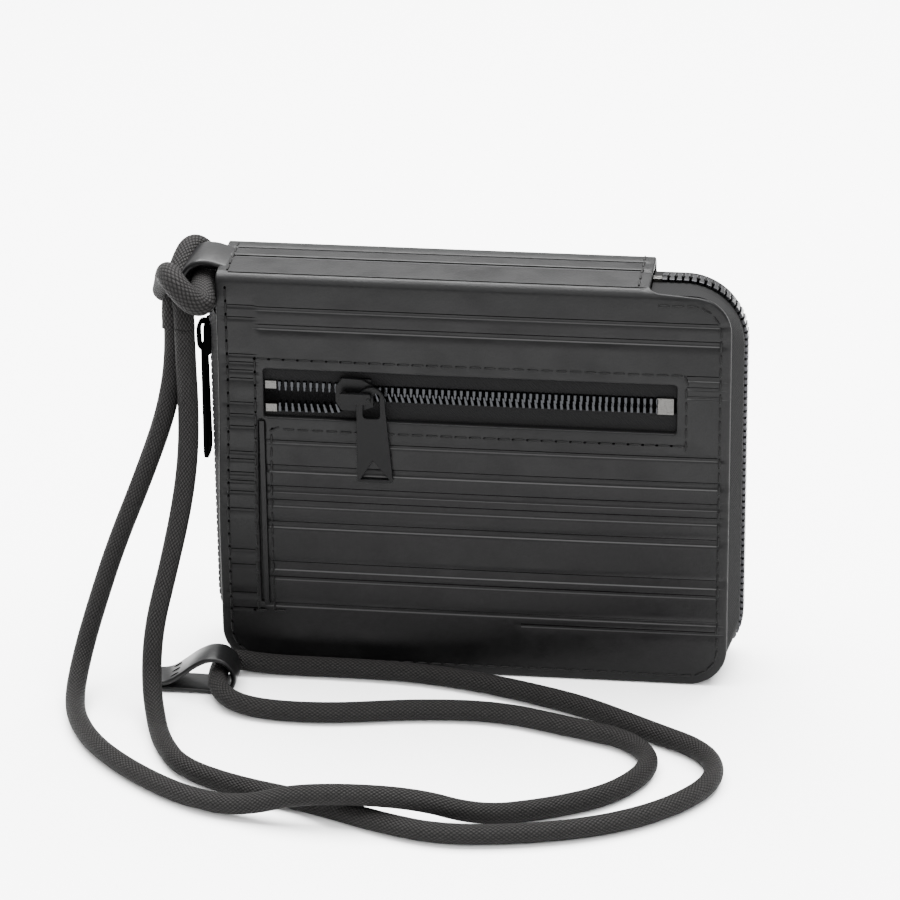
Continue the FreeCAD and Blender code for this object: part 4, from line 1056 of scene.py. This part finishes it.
# ---- Keeper ----
# A short strip of the same smooth leather is folded round the cord, and stitches hold its two flat ends.
# It slides stiffly along the cord and gathers both strands on the floor.
KEEPER_THICKNESS = 0.0013
KEEPER_FRONT = -0.0300
KEEPER_REAR = -0.0210
KEEPER_PROFILE = [
    (-0.0822, 0, 0.0007), (-0.0780, 0, 0.0007), (-0.0730, 0, 0.0008),
    (-0.0690, 0, 0.0007), (-0.0640, 0, 0.0005), (-0.0608, 0, 0.0018),
    (-0.0602, 0, 0.0060), (-0.0628, 0, 0.0094), (-0.0664, 0, 0.0100),
    (-0.0702, 0, 0.0082), (-0.0736, 0, 0.0054), (-0.0768, 0, 0.0030),
    (-0.0794, 0, 0.0022), (-0.0820, 0, 0.0021),
]
keeper_line = spline_line("keeper_profile", KEEPER_PROFILE, STRIP_STEP)[0]
keeper = strip("keeper", keeper_line, KEEPER_FRONT, KEEPER_REAR, KEEPER_THICKNESS, smooth_leather)
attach(keeper, "front_half")
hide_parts("cord_keeper")


# ---- Stitching ----
# Black waxed thread, about seven stitches in an inch, holds the cover, the zip frame and the spine.
# Each stitch lies between two needle holes, drawn as near-black pads of painted shade.
STITCH_PITCH = 0.0036


def lozenge(name, length, width, height):
    """A smooth low pad: a squashed sphere, longest along X."""
    vertices = []
    faces = []
    rings = 7
    around = 10
    for i in range(rings + 1):
        polar = math.pi * i / rings
        for j in range(around):
            turn = 2 * math.pi * j / around
            ring = math.sin(polar) ** 0.6
            vertices.append((-math.cos(polar) * length / 2, math.cos(turn) * ring * width / 2,
                             math.sin(turn) * ring * height / 2))
    for i in range(rings):
        for j in range(around):
            k = (j + 1) % around
            faces.append((i * around + j, (i + 1) * around + j, (i + 1) * around + k, i * around + k))
    mesh = bpy.data.meshes.new(name)
    mesh.from_pydata(vertices, [], faces)
    return mesh


thread = principled("thread", (0.003, 0.003, 0.003), 0.5)
# The needle holes are small near-black pads on the surface: painted shade standing in for the holes' dark
# insides.
needle_hole_painted_shade = principled("needle_hole_painted_shade", (0.0003, 0.0003, 0.0003), 0.9, gloss=0.0)
stitch = lozenge("stitch", 0.0030, 0.00062, 0.0006)
hole = lozenge("hole", 0.0008, 0.0006, 0.0003)


def on_front(points_xz, lift=0.00006):
    """Points on the bowed front face."""
    out = []
    for px, pz in points_xz:
        swell = BOW * max(1 - (px / PANEL_HALF) ** 2, 0) * math.sqrt(max(1 - abs(pz / MID_HEIGHT - 1), 0))
        out.append((px - float(bulge(px, pz)), -COVER_Y - swell - lift, pz))
    return out


def dense(points, step=0.002):
    """The polyline with extra points."""
    out = [points[0]]
    for a, b in zip(points, points[1:]):
        parts = max(int(math.dist(a, b) / step), 1)
        out += [tuple(a[i] + (b[i] - a[i]) * k / parts for i in range(len(a))) for k in range(1, parts + 1)]
    return out


border = 0.0026
edge_run = dense([(-0.0625, 0.1065), (-0.0625, CORNER + 0.001)]
                 + arc((-PANEL_HALF + CORNER, CORNER), CORNER - border, 180, 270, 9)
                 + arc((PANEL_HALF - CORNER, CORNER), CORNER - border, 270, 360, 9)
                 + arc((PANEL_HALF - CORNER, TOP_EDGE - CORNER), CORNER - border, 0, 90, 9)
                 + [(0.0480, TOP_EDGE - border)])
back_run = [
    (px, pz - (TOP_EDGE - BACK_EDGE) * (px > 0) * (pz > 0.050) * min((pz - 0.050) / 0.045, 1))
    for px, pz in edge_run
]
frame_upper = dense([(-0.0555, 0.0873), (0.0539, 0.0873), (0.0539, 0.0679)])
frame_left = dense([(-0.0555, 0.0873), (-0.0555, 0.0172)])
frame_lower = dense([(0.0539, 0.0679), (-0.0515, 0.0679), (-0.0515, 0.0172)])
runs = {
    "edge": (on_front(edge_run), (0, -1, 0), "front_half"),
    "frame_upper": (on_front(frame_upper), (0, -1, 0), "front_half"),
    "frame_left": (on_front(frame_left), (0, -1, 0), "front_half"),
    "frame_lower": (on_front(frame_lower), (0, -1, 0), "front_half"),
    "bar_tack": (on_front([(-0.0565, 0.0160), (-0.0500, 0.0160)], 0.0003), (0, -1, 0), "front_half"),
    "spine_left": ([(-0.0623, -0.0088, COVER_TOP), (-0.0623, 0.0080, COVER_TOP)], (0, 0, 1), "front_half"),
    "spine_right": ([(0.0415, -0.0088, COVER_TOP), (0.0415, 0.0088, COVER_TOP)], (0, 0, 1), "front_half"),
    "back_edge": ([(px, COVER_Y + 0.0001, pz) for px, pz in reversed(back_run)], (0, 1, 0), "back_half"),
}
for run, (path, way, body) in runs.items():
    middle_first = [tuple(np.array(path[0]) + (np.array(path[1]) - np.array(path[0]))
                          * (STITCH_PITCH / 2 / math.dist(path[0], path[1])))] + path[1:]
    stitches = repeated("stitches_" + run, middle_first, stitch, STITCH_PITCH, way, thread, True)
    holes = repeated("holes_" + run, path, hole, STITCH_PITCH, way, needle_hole_painted_shade, True)
    for made in (stitches, holes):
        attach(made, body)

for place in (-0.0282, -0.0255, -0.0228):
    path = [(-0.0762, place, 0.0042), (-0.0738, place, 0.0060)]
    tack_name = "keeper_tack_%d" % (1000 * abs(place))
    tack = repeated(tack_name, path, stitch, STITCH_PITCH, (0, 0, 1), thread, True)
    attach(tack, "front_half")
